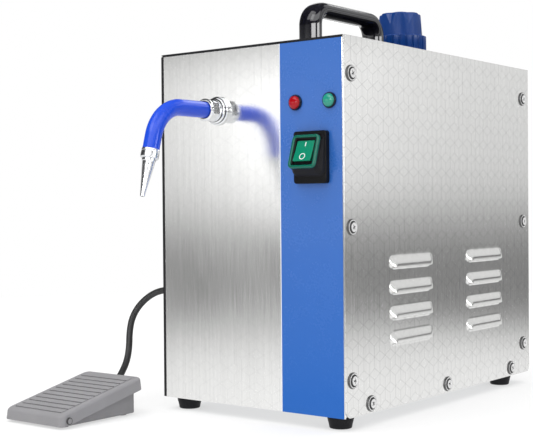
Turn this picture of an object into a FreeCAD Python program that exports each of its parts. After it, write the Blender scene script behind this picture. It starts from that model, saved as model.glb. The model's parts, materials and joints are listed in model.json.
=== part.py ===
import FreeCAD, Part
import math
import operator
import os

import Sketcher
from FreeCAD import Placement, Rotation, Vector

# Bench-top jewelry steam cleaner with its foot pedal. Millimetres, +X to the machine's right,
# +Y to its back, +Z up from the surface it stands on. The driving sizes are the sheet below.

SIZES = {
    # casing
    "body_width": 225, "body_depth": 380, "body_height": 350,
    "sheet_gauge": 1.2, "top_plate_gauge": 2.5, "flange_depth": 24, "pan_flange": 18,
    "panel_corner": 7.5, "stripe_wide": 73.5, "stripe_gauge": 0.5,
    # louvers pressed out of the side panels
    "louver_length": 82, "louver_height": 12.5, "louver_proud": 4.6, "louver_pitch": 25.5,
    "louver_rows": 4, "louver_top": 143, "louver_front": 75, "louver_gap": 71,
    # side screws on cup washers
    "screw_radius": 2, "screw_length": 8, "head_radius": 5.2, "head_top_radius": 3.75,
    "head_height": 2.8, "washer_radius": 7.75, "washer_lip": 0.6, "washer_height": 2.2,
    "screw_clearance": 0.3, "screw_front": 11.3, "screw_back": 15.6,
    "screw_low": 34, "screw_drop": 34.6,
    "pan_screw_height": 9, "pan_screw_front": 42, "pan_screw_back": 47.4,
    # feet
    "foot_height": 12, "foot_top_radius": 12.5, "foot_base_radius": 10.5,
    "foot_side": 18.5, "foot_front": 18, "foot_back": 39, "foot_screw_radius": 2.5,
    "foot_recess_radius": 5.5, "foot_recess_depth": 6, "foot_head_radius": 5.1,
    "foot_head_gauge": 3, "foot_screw_bite": 3.6,
    # carry handle
    "handle_gap": 57.7, "handle_spacing": 119, "handle_rise": 57, "handle_wide": 26,
    "handle_thick": 15.5, "handle_bend": 18, "handle_screw_radius": 2.5, "handle_hole_depth": 20,
    "handle_screw_bite": 18, "handle_head_radius": 5, "handle_head_gauge": 3,
    # boiler and what is fitted to it
    "tank_back": 118, "tank_radius": 72, "tank_flat": 52, "tank_low": 60, "tank_high": 224,
    "tank_shoulder": 14, "tank_wall": 2.5, "stand_radius": 49, "stand_wall": 2.5, "stand_rim": 8,
    "jacket_gap": 0.4, "jacket_wall": 8, "jacket_low": 78, "jacket_high": 206,
    "jacket_hole_gap": 1, "heater_height": 100, "heater_flange_radius": 22,
    "heater_flange_gauge": 6, "heater_mouth_radius": 16, "heater_rod_radius": 4,
    "heater_rod_rise": 9, "heater_reach": 100, "heater_tail": 8,
    "steam_pipe_radius": 5, "steam_pipe_bore": 3.5, "steam_pipe_bend": 20, "steam_offset": 38,
    "valve_x": 30, "valve_offset": 18, "pressure_stub": 10, "pressure_stub_radius": 6.5,
    "pressure_can": 24, "pressure_can_radius": 13, "tab_wide": 6, "tab_gauge": 0.8, "tab_rise": 8,
    "safety_radius": 9, "safety_height": 44, "safety_bore": 5.5, "safety_thread_radius": 6.3,
    "safety_neck": 7, "safety_seat": 10, "safety_lid": 3, "vent_radius": 2, "vent_rise": 7,
    "poppet_gauge": 4, "poppet_gap": 0.1, "poppet_lap": 0.02, "stem_proud": 6,
    "safety_wire_radius": 0.5, "safety_coils": 6, "spring_gap": 0.1,
    # filler neck and screw cap
    "filler_offset": 20, "neck_radius": 17, "neck_bore": 13, "neck_proud": 29, "neck_clearance": 0.05,
    "cap_ring_radius": 30, "cap_skirt_gap": 3, "cap_ring_top": 38, "cap_knob_low_radius": 25.5,
    "cap_knob_top_radius": 23.5, "cap_top": 64.3, "cap_edge": 1.5, "cap_ribs": 24, "cap_groove": 1.2,
    "cap_facets": 7, "facet_slope": 10, "facet_depth": 1.6, "facet_foot": 2, "gasket_gauge": 2,
    "gasket_inset": 0.5, "cap_plug_radius": 14, "plug_gauge": 4, "plug_stud_radius": 4,
    "plug_stud_rise": 4, "spigot_gap": 1.5, "spigot_reach": 8,
    # nozzle
    "nozzle_x": -36.7, "nozzle_drop": 61.5, "escutcheon_radius": 14, "escutcheon_gauge": 3,
    "union_radius": 11, "union_length": 22, "union_tail": 28, "union_thread_radius": 8.8,
    "union_spigot_radius": 10.4, "union_bead": 0.6, "union_edge": 1.2, "union_nut_radius": 15.4,
    "union_nut_gauge": 6, "pipe_stop": 2, "seat_gap": 0.1, "hose_radius": 8, "pipe_radius": 5,
    "pipe_bore": 3, "hose_seat": 8, "hose_straight": 56, "hose_bend": 38, "hose_turn": 74.5,
    "hose_tail": 14, "collar_length": 8.5, "collar_radius": 8.6, "collar_edge": 0.7,
    "tip_length": 36, "tip_land": 3, "tip_throat": 6, "tip_base_radius": 6.6, "tip_radius": 2.2,
    "tip_bore": 1.2, "swivel_clearance": 0.05,
    # solenoid valve behind the nozzle
    "solenoid_back": 62, "solenoid_width": 30, "solenoid_drop": 13, "coil_height": 30,
    "guide_radius": 6.5, "guide_proud": 3, "plunger_radius": 4.5, "plunger_lift": 3,
    "plunger_gap": 0.3,
    # lamps
    "lamp_drop": 59, "lamp_side": 15.4, "lamp_spacing": 38.7, "lamp_radius": 7.4,
    "lamp_lens_radius": 5.2, "lamp_proud": 3, "lamp_flange": 1.8, "lamp_bevel": 1,
    "lamp_hole_radius": 6, "lamp_sleeve": 6, "lamp_depth": 18, "lens_land": 0.4,
    "lens_shoulder": 1.6, "lens_rise": 2.2, "lens_nose_radius": 3.9,
    # power switch
    "switch_drop": 51.7, "switch_base_wide": 37, "switch_base_tall": 48.5,
    "switch_base_gauge": 5.6, "boot_reach": 40, "bezel_wide": 30.7, "bezel_tall": 32.5,
    "bezel_gauge": 2.4, "bezel_centre_up": 5.6, "bezel_proud": 16, "bezel_tilt": 18,
    "opening_wide": 24, "opening_tall": 26.4, "mouth_depth": 14, "switch_core_wall": 1.7,
    "core_gap": 0.2, "core_lead": 8, "core_depth": 34, "throat_inset": 0.6, "throat_depth": 13,
    "flare_inset": 2.6, "snap_gap": 0.05, "rocker_gap": 0.4, "rocker_sweep": 1.3,
    "pocket_depth": 13.5, "rocker_wide": 19.6, "rocker_tall": 21.8, "rocker_edge": 1,
    "rocker_keel_tall": 13, "rocker_keel_depth": 5.4, "rocker_pivot_depth": 6, "rocker_sink": 0.8,
    "rocker_swing": 7, "switch_tab": 11, "switch_tab_across": 8, "switch_tab_up": 7,
    # rear connections
    "inlet_x": -62, "inlet_height": 66, "inlet_wide": 28, "inlet_tall": 20, "inlet_depth": 22,
    "inlet_wall": 1.8, "inlet_floor": 3, "inlet_clearance": 0.2, "inlet_flange_wide": 50,
    "inlet_flange_tall": 26, "inlet_flange_gauge": 3, "inlet_pin_wide": 4, "inlet_pin_tall": 2,
    "inlet_pin_reach": 14, "inlet_pin_spread": 7, "inlet_pin_drop": 3,
    "drain_height": 86, "drain_radius": 11, "drain_length": 30, "drain_spout": 14, "drain_tail": 14,
    "drain_spout_radius": 7, "drain_boss_radius": 10, "drain_bore": 4.5, "drain_ball_radius": 8,
    "drain_ball_gap": 0.08, "tower_radius": 6, "tower_rise": 5, "stem_radius": 2.5,
    "lever_gap": 0.3, "lever_length": 46, "lever_wide": 11, "lever_gauge": 2.4,
    "lever_nut_radius": 4.4, "lever_nut_gauge": 3, "grip_length": 32, "grip_over": 4,
    "grip_side": 1.5, "grip_gauge": 3,
    # electrics on the base pan
    "terminal_x": -40, "terminal_y": 90, "terminal_long": 56, "terminal_wide": 18,
    "terminal_tall": 14, "terminal_ways": 5, "terminal_pitch": 11, "well_radius": 2.6,
    "well_floor": 6, "relay_x": 45, "relay_y": 90, "relay_wide": 32, "relay_deep": 28,
    "relay_tall": 34, "relay_tab_across": 9, "relay_tab_along": 8,
    # foot pedal
    "pedal_x": -150, "pedal_front": -144, "pedal_wide": 82, "pedal_long": 110, "pedal_overhang": 9.1,
    "pedal_front_height": 12.5, "pedal_back_height": 37, "pedal_wall": 2.5, "pedal_roof": 2.6,
    "pedal_skirt": 12.5, "pedal_skirt_gap": 0.6, "treadle_toe": 7.5, "pedal_pad": 1.5,
    "pad_radius": 6, "pedal_pivot_y": 10, "pedal_pivot_height": 7, "pedal_pin_radius": 2,
    "pedal_pin_head": 3.6, "pedal_pin_head_gauge": 1.3, "pivot_block": 5, "base_ramp": 6,
    "pedal_base_front": 10.5, "pedal_base_back": 23.5, "pedal_grooves": 11,
    "pedal_groove_depth": 0.8, "pedal_groove_wide": 1.8, "pedal_margin": 8,
    "pedal_switch_y": 30, "micro_long": 20, "micro_wide": 6.4, "micro_tall": 8, "micro_floor": 2,
    "micro_plunger_radius": 2, "micro_sink": 3, "micro_gap": 0.3, "pedal_spring_y": 62,
    "pedal_spring_radius": 6, "pedal_wire_radius": 0.6, "pedal_coils": 5, "pedal_spring_gap": 0.5,
    # pedal cord, its gland in the casing and its strain relief in the pedal
    "cord_radius": 3.5, "gland_y": 45, "gland_height": 106, "gland_radius": 9, "gland_proud": 15.5,
    "gland_flange": 5, "gland_hex_radius": 9.9, "gland_mouth_radius": 5.6,
    "gland_thread_radius": 6.5, "gland_tail": 12, "gland_nut_radius": 10.4, "gland_nut_gauge": 5,
    "relief_height": 15, "relief_radius": 5.8, "relief_groove": 1.3,
    "relief_collar": 2, "relief_lip": 0.9, "relief_side": -20, "relief_proud": 13.1,
    "notch_side": 1, "notch_rise": 10,
}

# The pedal cord's route in the machine's own frame (front face y = 0, casing bottom z = 0), as
# chosen points. It begins at the gland's mouth and ends at the strain relief of the pedal.
CORD_ROUTE = [
    (-128, 45, 106), (-147, 45, 106), (-166, 42.5, 102), (-180.5, 36.5, 90.5), (-187.5, 30, 75.5),
    (-187, 25, 59.5), (-182, 19.5, 44.5), (-177, 11, 30.5), (-173.5, -1, 18.5), (-171, -14, 8.5),
    (-170, -30, 3),
]

DOC = FreeCAD.newDocument("SteamCleaner")
SHEET = DOC.addObject("Spreadsheet::Sheet", "Sizes")
PIECES = {}
FORMS = {"+": operator.add, "-": operator.sub, "*": operator.mul, "/": operator.truediv}


class Size(float):
    """A number that remembers the sheet formula it is worked out with."""

    def __new__(cls, value, formula):
        number = float.__new__(cls, value)
        number.formula = formula
        return number

    def __add__(self, other):
        return combine(self, "+", other)

    def __radd__(self, other):
        return combine(other, "+", self)

    def __sub__(self, other):
        return combine(self, "-", other)

    def __rsub__(self, other):
        return combine(other, "-", self)

    def __mul__(self, other):
        return combine(self, "*", other)

    def __rmul__(self, other):
        return combine(other, "*", self)

    def __truediv__(self, other):
        return combine(self, "/", other)

    def __neg__(self):
        return combine(-1, "*", self)


def formula_of(value):
    return value.formula if isinstance(value, Size) else repr(float(value))


def combine(left, form, right):
    return Size(FORMS[form](float(left), float(right)),
                "(" + formula_of(left) + " " + form + " " + formula_of(right) + ")")


class Sheet:
    """Every driving size as an attribute, read back from the sheet's cells."""


def fill_sheet():
    for row, (alias, value) in enumerate(SIZES.items(), start=1):
        SHEET.set("A" + str(row), alias)
        SHEET.set("B" + str(row), str(value))
        SHEET.setAlias("B" + str(row), alias)
    DOC.recompute()
    for alias in SIZES:
        setattr(Sheet, alias, Size(SHEET.get(alias), "Sizes." + alias))


fill_sheet()
s = Sheet

# ---------------------------------------------------------------- frame of the part
# The origin lies under the middle of the machine and its pedal together, on the floor.
LEFT_END = s.pedal_x - s.pedal_wide / 2 - s.pedal_pin_head_gauge
RIGHT_END = s.body_width / 2 + s.washer_height + s.head_height
BACK_END = s.body_depth + s.drain_length + s.drain_spout
SHIFT_X = -1 * (LEFT_END + RIGHT_END) / 2
SHIFT_Y = -1 * (s.pedal_front + BACK_END) / 2
HALF = s.body_width / 2
INSIDE = HALF - s.sheet_gauge
PANEL_TOP = s.body_height - s.top_plate_gauge

# Places set out from the casing's top, back and right edges.
NOZZLE_HEIGHT = s.body_height - s.nozzle_drop
LAMP_HEIGHT = s.body_height - s.lamp_drop
GREEN_LAMP_X = HALF - s.lamp_side
RED_LAMP_X = GREEN_LAMP_X - s.lamp_spacing
STRIPE_EDGE = HALF - s.stripe_wide
SWITCH_X = GREEN_LAMP_X - s.lamp_spacing / 2
SWITCH_HEIGHT = LAMP_HEIGHT - s.switch_drop
BEZEL_HEIGHT = SWITCH_HEIGHT + s.bezel_centre_up
TANK_Y = s.body_depth - s.tank_back
STEAM_PIPE_Y = TANK_Y - s.steam_offset
VALVE_Y = TANK_Y - s.valve_offset
FILLER_Y = TANK_Y + s.filler_offset
HANDLE_REAR = FILLER_Y - s.handle_gap
HANDLE_FRONT = HANDLE_REAR - s.handle_spacing
LOUVER_REAR = s.louver_front + s.louver_length + s.louver_gap
SCREW_BACK = s.body_depth - s.screw_back
SCREW_HIGH = s.body_height - s.screw_drop
SCREW_MID = (s.screw_low + SCREW_HIGH) / 2
PAN_SCREW_LAST = s.body_depth - s.pan_screw_back
PAN_SCREW_MID = (s.pan_screw_front + PAN_SCREW_LAST) / 2


def casing(x, y, z):
    """A point of the casing's frame (mid-width, front face, casing bottom) in the part's frame."""
    return (x + SHIFT_X, y + SHIFT_Y, z + s.foot_height)


def pedal(x, y, z):
    """A point of the pedal's frame (mid-width, front edge, floor) in the part's frame."""
    return (s.pedal_x + SHIFT_X + x, s.pedal_front + SHIFT_Y + y, 0.0 + z)


# ---------------------------------------------------------------- helpers
def bind(obj, **sizes):
    for name, value in sizes.items():
        setattr(obj, name, float(value))
        if isinstance(value, Size):
            obj.setExpression(name, value.formula)
    return obj


def place(obj, at, rotation=Rotation()):
    obj.Placement = Placement(Vector(*[float(value) for value in at]), rotation)
    for axis, value in zip("xyz", at):
        if isinstance(value, Size):
            obj.setExpression("Placement.Base." + axis, value.formula)
    return obj


def vector(at):
    return Vector(*[float(value) for value in at])


def turned_to(direction):
    return Rotation(Vector(0, 0, 1), Vector(*direction))


def box(name, low, size, rotation=Rotation()):
    obj = DOC.addObject("Part::Box", name)
    bind(obj, Length=size[0], Width=size[1], Height=size[2])
    return place(obj, low, rotation)


def rod(name, start, direction, radius, length):
    obj = DOC.addObject("Part::Cylinder", name)
    bind(obj, Radius=radius, Height=length)
    return place(obj, start, turned_to(direction))


def taper(name, start, direction, first, last, length):
    obj = DOC.addObject("Part::Cone", name)
    bind(obj, Radius1=first, Radius2=last, Height=length)
    return place(obj, start, turned_to(direction))


def hexagon(name, start, direction, circumradius, length):
    obj = DOC.addObject("Part::Prism", name)
    obj.Polygon = 6
    bind(obj, Circumradius=circumradius, Height=length)
    return place(obj, start, turned_to(direction))


def fuse(name, shapes):
    obj = DOC.addObject("Part::MultiFuse", name)
    obj.Shapes = shapes
    obj.Refine = True
    return obj


def cut(name, base, tools):
    obj = DOC.addObject("Part::Cut", name)
    obj.Base = base
    obj.Tool = tools[0] if len(tools) == 1 else fuse(name + "_tools", tools)
    obj.Refine = True
    return obj


def tube(name, start, direction, radius, bore, length):
    outer = rod(name + "_outer", start, direction, radius, length)
    return cut(name, outer, [rod(name + "_bore", start, direction, bore, length)])


def compound(name, shapes):
    obj = DOC.addObject("Part::Compound", name)
    obj.Links = shapes
    return obj


def feature(name, shape):
    obj = DOC.addObject("Part::Feature", name)
    obj.Shape = shape
    return obj


def piece(label, obj):
    """Give a finished sub-part the name that its node and its file carry."""
    obj.Label = label
    PIECES[label] = obj
    return obj


def origin_plane(body, role):
    return [item for item in body.Origin.OriginFeatures if item.Role == role][0]


def hold_point(sketch, geometry, end, point):
    for kind, value, axis in (("DistanceX", point[0], -2), ("DistanceY", point[1], -1)):
        if abs(value) < 1e-9:
            sketch.addConstraint(Sketcher.Constraint("PointOnObject", geometry, end, axis))
            continue
        index = sketch.addConstraint(
            Sketcher.Constraint(kind, -1, 1, geometry, end, float(value)))
        if isinstance(value, Size):
            sketch.setExpression("Constraints[" + str(index) + "]", value.formula)


def draw_outline(sketch, corners):
    first = sketch.GeometryCount
    count = len(corners)
    for index in range(count):
        start, end = corners[index], corners[(index + 1) % count]
        sketch.addGeometry(Part.LineSegment(Vector(start[0], start[1], 0), Vector(end[0], end[1], 0)))
    for index in range(count):
        following = first + (index + 1) % count
        sketch.addConstraint(Sketcher.Constraint("Coincident", first + index, 2, following, 1))
    for index in range(count):
        hold_point(sketch, first + index, 1, corners[index])


def draw_circle(sketch, centre, radius):
    index = sketch.addGeometry(Part.Circle(Vector(centre[0], centre[1], 0), Vector(0, 0, 1), radius))
    constraint = sketch.addConstraint(Sketcher.Constraint("Radius", index, float(radius)))
    if isinstance(radius, Size):
        sketch.setExpression("Constraints[" + str(constraint) + "]", radius.formula)
    hold_point(sketch, index, 3, centre)


def new_sketch(body, name, role):
    sketch = body.newObject("Sketcher::SketchObject", name)
    sketch.AttachmentSupport = (origin_plane(body, role), [""])
    sketch.MapMode = "FlatFace"
    return sketch


def plate(name, role, outline, gauge, holes=(), cutouts=(), reverse=False, midplane=False):
    """A flat or prismatic body padded from one closed outline with round and straight holes."""
    body = DOC.addObject("PartDesign::Body", name)
    sketch = new_sketch(body, name + "_sketch", role)
    draw_outline(sketch, outline)
    for centre, radius in holes:
        draw_circle(sketch, centre, radius)
    for corners in cutouts:
        draw_outline(sketch, corners)
    pad = body.newObject("PartDesign::Pad", name + "_pad")
    pad.Profile = sketch
    bind(pad, Length=gauge)
    pad.Reversed = reverse
    if midplane:
        pad.Midplane = True
    return body


def turning(name, profile, start, direction):
    """A body of revolution; the profile lists (radius, distance along the axis)."""
    body = DOC.addObject("PartDesign::Body", name)
    sketch = new_sketch(body, name + "_sketch", "XZ_Plane")
    draw_outline(sketch, profile)
    revolution = body.newObject("PartDesign::Revolution", name + "_turn")
    revolution.Profile = sketch
    revolution.ReferenceAxis = (sketch, ["V_Axis"])
    revolution.Angle = 360
    return place(body, start, turned_to(direction))


def rectangle(low_x, low_y, high_x, high_y):
    return [(low_x, low_y), (high_x, low_y), (high_x, high_y), (low_x, high_y)]


def swept(name, wire, start, direction, radius, bore=None):
    """A round tube along a wire of straight and tangent round stretches."""
    def run(size):
        circle = Part.Wire(Part.Circle(start, direction, size).toShape())
        return wire.makePipeShell([circle], True, True)
    shape = run(radius) if bore is None else run(radius).cut(run(bore))
    return feature(name, shape)


def bent_wire(first, corner, last, bend):
    """Two straight runs joined at a corner by a tangent arc of the given radius."""
    incoming, outgoing = (corner - first).normalize(), (last - corner).normalize()
    turn = incoming.getAngle(outgoing)
    trim = bend * math.tan(turn / 2)
    enter, leave = corner - incoming * trim, corner + outgoing * trim
    inward = (outgoing - incoming).normalize()
    middle = corner + inward * (bend / math.cos(turn / 2) - bend)
    return [Part.LineSegment(first, enter), Part.Arc(enter, middle, leave),
            Part.LineSegment(leave, last)]


# ---------------------------------------------------------------- casing
SCREW_HOLE = s.screw_radius + s.screw_clearance
SIDE_SCREWS = [(y, z) for z in (s.screw_low, SCREW_MID, SCREW_HIGH)
               for y in (s.screw_front, SCREW_BACK)]
PAN_SCREWS = [(y, s.pan_screw_height)
              for y in (s.pan_screw_front, PAN_SCREW_MID, PAN_SCREW_LAST)]
FOOT_PLACES = [(side * (HALF - s.foot_side), y) for side in (-1, 1)
               for y in (s.foot_front, s.body_depth - s.foot_back)]
SWITCH_CUTOUT_WIDE = s.opening_wide + 2 * s.switch_core_wall
SWITCH_CUTOUT_TALL = s.opening_tall + 2 * s.switch_core_wall


def side_flange(name, side, low_y, low_z, size_y, size_z, screws):
    """An upright strip behind a side panel with the tapping holes of the side screws."""
    inner = side * INSIDE if side < 0 else INSIDE - s.sheet_gauge
    strip = box(name, casing(inner, low_y, low_z), (s.sheet_gauge, size_y, size_z))
    holes = [rod(name + "_hole_" + str(index), casing(side * HALF, y, z), (-side, 0, 0),
                 s.screw_radius, s.flange_depth) for index, (y, z) in enumerate(screws)]
    return cut(name + "_drilled", strip, holes)


def base_pan():
    pan = box("pan_sheet", casing(-1 * INSIDE, 0.0 + s.sheet_gauge, 0.0),
              (2 * INSIDE, s.body_depth - 2 * s.sheet_gauge, s.sheet_gauge))
    holes = [rod("pan_hole_" + str(index), casing(x, y, -1 * s.sheet_gauge), (0, 0, 1),
                 s.foot_screw_radius, 3 * s.sheet_gauge)
             for index, (x, y) in enumerate(FOOT_PLACES)]
    low_y = s.sheet_gauge + s.flange_depth
    flanges = [side_flange("pan_flange_" + label, side, low_y, s.sheet_gauge,
                           s.body_depth - 2 * low_y, s.pan_flange, PAN_SCREWS)
               for label, side in (("left", -1), ("right", 1))]
    return piece("base_pan", fuse("base_pan", [cut("pan_drilled", pan, holes)] + flanges))


def front_panel():
    outline = rectangle(-1 * INSIDE, 0.0, INSIDE, PANEL_TOP)
    holes = [((s.nozzle_x, NOZZLE_HEIGHT), s.union_radius + s.screw_clearance),
             ((RED_LAMP_X, LAMP_HEIGHT), s.lamp_hole_radius),
             ((GREEN_LAMP_X, LAMP_HEIGHT), s.lamp_hole_radius)]
    sheet = plate("front_sheet", "XZ_Plane", outline, s.sheet_gauge, holes,
                  [switch_cutout()], reverse=True)
    place(sheet, casing(0.0, 0.0, 0.0))
    flanges = [side_flange("front_flange_" + label, side, s.sheet_gauge, s.sheet_gauge,
                           s.flange_depth, PANEL_TOP - s.sheet_gauge, SIDE_SCREWS[::2])
               for label, side in (("left", -1), ("right", 1))]
    lip = box("front_lip", casing(-1 * INSIDE + s.sheet_gauge, s.sheet_gauge,
                                  PANEL_TOP - s.sheet_gauge),
              (2 * INSIDE - 2 * s.sheet_gauge, s.flange_depth, s.sheet_gauge))
    return piece("front_panel", fuse("front_panel", [sheet] + flanges + [lip]))


def switch_cutout():
    half = SWITCH_CUTOUT_WIDE / 2 + s.screw_clearance
    tall = SWITCH_CUTOUT_TALL / 2 + s.screw_clearance
    return rectangle(SWITCH_X - half, BEZEL_HEIGHT - tall, SWITCH_X + half, BEZEL_HEIGHT + tall)


def blue_stripe():
    outline = rectangle(STRIPE_EDGE, 0.0, INSIDE, PANEL_TOP)
    holes = [((x, LAMP_HEIGHT), s.lamp_hole_radius) for x in (RED_LAMP_X, GREEN_LAMP_X)]
    stripe = plate("stripe_sheet", "XZ_Plane", outline, s.stripe_gauge, holes, [switch_cutout()])
    return piece("blue_stripe", place(stripe, casing(0.0, 0.0, 0.0)))


def rear_panel():
    outline = rectangle(-1 * INSIDE, 0.0, INSIDE, PANEL_TOP)
    half = s.inlet_wide / 2 + s.inlet_wall + s.inlet_clearance
    tall = s.inlet_tall / 2 + s.inlet_wall + s.inlet_clearance
    inlet = rectangle(s.inlet_x - half, s.inlet_height - tall, s.inlet_x + half, s.inlet_height + tall)
    holes = [((0.0, s.drain_height), s.drain_spout_radius + s.screw_clearance)]
    sheet = plate("rear_sheet", "XZ_Plane", outline, s.sheet_gauge, holes, [inlet])
    place(sheet, casing(0.0, s.body_depth, 0.0))
    low_y = s.body_depth - s.sheet_gauge - s.flange_depth
    flanges = [side_flange("rear_flange_" + label, side, low_y, s.sheet_gauge,
                           s.flange_depth, PANEL_TOP - s.sheet_gauge, SIDE_SCREWS[1::2])
               for label, side in (("left", -1), ("right", 1))]
    lip = box("rear_lip", casing(-1 * INSIDE + s.sheet_gauge, low_y, PANEL_TOP - s.sheet_gauge),
              (2 * INSIDE - 2 * s.sheet_gauge, s.flange_depth, s.sheet_gauge))
    return piece("rear_panel", fuse("rear_panel", [sheet] + flanges + [lip]))


def top_panel():
    outline = rectangle(-1 * INSIDE, 0.0, INSIDE, s.body_depth)
    holes = [((0.0, HANDLE_FRONT), s.handle_screw_radius + s.screw_clearance),
             ((0.0, HANDLE_REAR), s.handle_screw_radius + s.screw_clearance),
             ((0.0, FILLER_Y), s.neck_radius + s.screw_clearance)]
    top = plate("top_sheet", "XY_Plane", outline, s.top_plate_gauge, holes)
    return piece("top_panel", place(top, casing(0.0, 0.0, PANEL_TOP)))


def louver(reach, proud, height, length):
    """The rounded hood of a louver: a flattened capsule, seen along the panel's outward side."""
    barrel = Part.makeCylinder(height, length - 2 * reach, Vector(0, reach, 0), Vector(0, 1, 0))
    ends = [Part.makeSphere(height, Vector(0, y, 0)) for y in (reach, length - reach)]
    flatten = FreeCAD.Matrix()
    flatten.scale(proud / height, 1.0, 1.0)
    return barrel.fuse(ends).removeSplitter().transformGeometry(flatten)


def side_panel(side, extra_hole=None):
    """A flat side sheet with two columns of louvers that open downwards."""
    gauge, depth, top = float(s.sheet_gauge), float(s.body_depth), float(s.body_height)
    sheet = Part.makeBox(gauge, depth, top, Vector(-gauge, 0, 0))
    lower = [edge for edge in sheet.Edges
             if abs(edge.Length - gauge) < 1e-6 and edge.BoundBox.ZMax < 1e-6]
    sheet = sheet.makeFillet(float(s.panel_corner), lower)
    height, proud, length = float(s.louver_height), float(s.louver_proud), float(s.louver_length)
    for column in (float(s.louver_front), float(LOUVER_REAR)):
        for row in range(int(s.louver_rows)):
            base = float(s.louver_top) - height - row * float(s.louver_pitch)
            at = Vector(-gauge, column, base)
            above = Part.makeBox(2 * height, length, 2 * height, Vector(0, column, base))
            hood = louver(height, proud + gauge, height, length)
            hood.translate(at)
            hollow = louver(height, proud, height - gauge, length - 2 * gauge)
            hollow.translate(at + Vector(0, gauge, 0))
            hood = hood.common(above.translated(Vector(-gauge, 0, 0)))
            hollow = hollow.common(above.translated(Vector(-height, 0, 0)))
            sheet = sheet.fuse(hood).cut(hollow)
    holes = [(y, z, float(SCREW_HOLE)) for y, z in SIDE_SCREWS + PAN_SCREWS]
    if extra_hole:
        holes.append(extra_hole)
    for y, z, radius in holes:
        sheet = sheet.cut(Part.makeCylinder(radius, 4 * gauge, Vector(-3 * gauge, y, z),
                                            Vector(1, 0, 0)))
    sheet = sheet.removeSplitter()
    if side < 0:
        sheet = sheet.mirror(Vector(0, 0, 0), Vector(1, 0, 0))
    label = "right_side_panel" if side > 0 else "left_side_panel"
    return piece(label, place(feature(label, sheet), casing(side * HALF, 0.0, 0.0)))


def side_fixings():
    """Nine pan-head screws on raised cup washers in each side panel."""
    screws, washers = [], []
    for label, side in (("left", -1), ("right", 1)):
        for index, (y, z) in enumerate(SIDE_SCREWS + PAN_SCREWS):
            name = label + "_" + str(index)
            seat = casing(side * HALF, y, z)
            cup = taper("cup_" + name, seat, (side, 0, 0), s.washer_radius,
                        s.head_radius + s.washer_lip, s.washer_height)
            bore = rod("cup_bore_" + name, seat, (side, 0, 0), SCREW_HOLE, s.washer_height)
            washers.append(cut("washer_" + name, cup, [bore]))
            head_at = casing(side * (HALF + s.washer_height), y, z)
            head = taper("head_" + name, head_at, (side, 0, 0), s.head_radius,
                         s.head_top_radius, s.head_height)
            shank = rod("shank_" + name, head_at, (-side, 0, 0), s.screw_radius,
                        s.screw_length + s.washer_height)
            screws.append(fuse("screw_" + name, [head, shank]))
    piece("side_screws", compound("side_screws", screws))
    piece("side_washers", compound("side_washers", washers))


def feet():
    rubbers, screws = [], []
    for index, (x, y) in enumerate(FOOT_PLACES):
        rim, floor = s.foot_recess_radius, s.foot_recess_depth
        profile = [(s.foot_screw_radius, floor), (rim, floor), (rim, 0.0), (s.foot_base_radius, 0.0),
                   (s.foot_top_radius, s.foot_height), (s.foot_screw_radius, s.foot_height)]
        foot = turning("foot_" + str(index), profile, casing(x, y, -1 * s.foot_height), (0, 0, 1))
        rubbers.append(foot)
        seat = s.foot_height - s.foot_recess_depth
        head = rod("foot_head_" + str(index), casing(x, y, -1 * seat), (0, 0, -1),
                   s.foot_head_radius, s.foot_head_gauge)
        shank = rod("foot_shank_" + str(index), casing(x, y, -1 * seat), (0, 0, 1),
                    s.foot_screw_radius, seat + s.foot_screw_bite)
        screws.append(fuse("foot_screw_" + str(index), [head, shank]))
    piece("rubber_feet", compound("rubber_feet", rubbers))
    return screws


# ---------------------------------------------------------------- carry handle
def carry_handle():
    """An oval bar bent into a bridge, its legs standing on the top panel."""
    foot = vector(casing(0.0, HANDLE_FRONT, s.body_height))
    top = Vector(0, 0, float(s.handle_rise - s.handle_thick / 2))
    across = Vector(0, float(s.handle_spacing), 0)
    bend = float(s.handle_bend)
    first = bent_wire(foot, foot + top, foot + top + across / 2, bend)
    second = bent_wire(foot + top + across / 2, foot + top + across, foot + across, bend)
    wire = Part.Wire([part.toShape() for part in first + second])
    oval = Part.Ellipse(Vector(0, 0, 0), float(s.handle_wide / 2), float(s.handle_thick / 2))
    profile = Part.Wire(oval.toShape())
    profile.translate(foot)
    bar = wire.makePipeShell([profile], True, True)
    for y in (HANDLE_FRONT, HANDLE_REAR):
        bar = bar.cut(Part.makeCylinder(float(s.handle_screw_radius), float(s.handle_hole_depth),
                                        vector(casing(0.0, y, s.body_height))))
    piece("carry_handle", feature("carry_handle", bar))
    screws = []
    for index, y in enumerate((HANDLE_FRONT, HANDLE_REAR)):
        under = casing(0.0, y, PANEL_TOP)
        head = rod("handle_head_" + str(index), under, (0, 0, -1), s.handle_head_radius,
                   s.handle_head_gauge)
        shank = rod("handle_shank_" + str(index), under, (0, 0, 1), s.handle_screw_radius,
                    s.top_plate_gauge + s.handle_screw_bite)
        screws.append(fuse("handle_screw_" + str(index), [head, shank]))
    return screws


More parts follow.
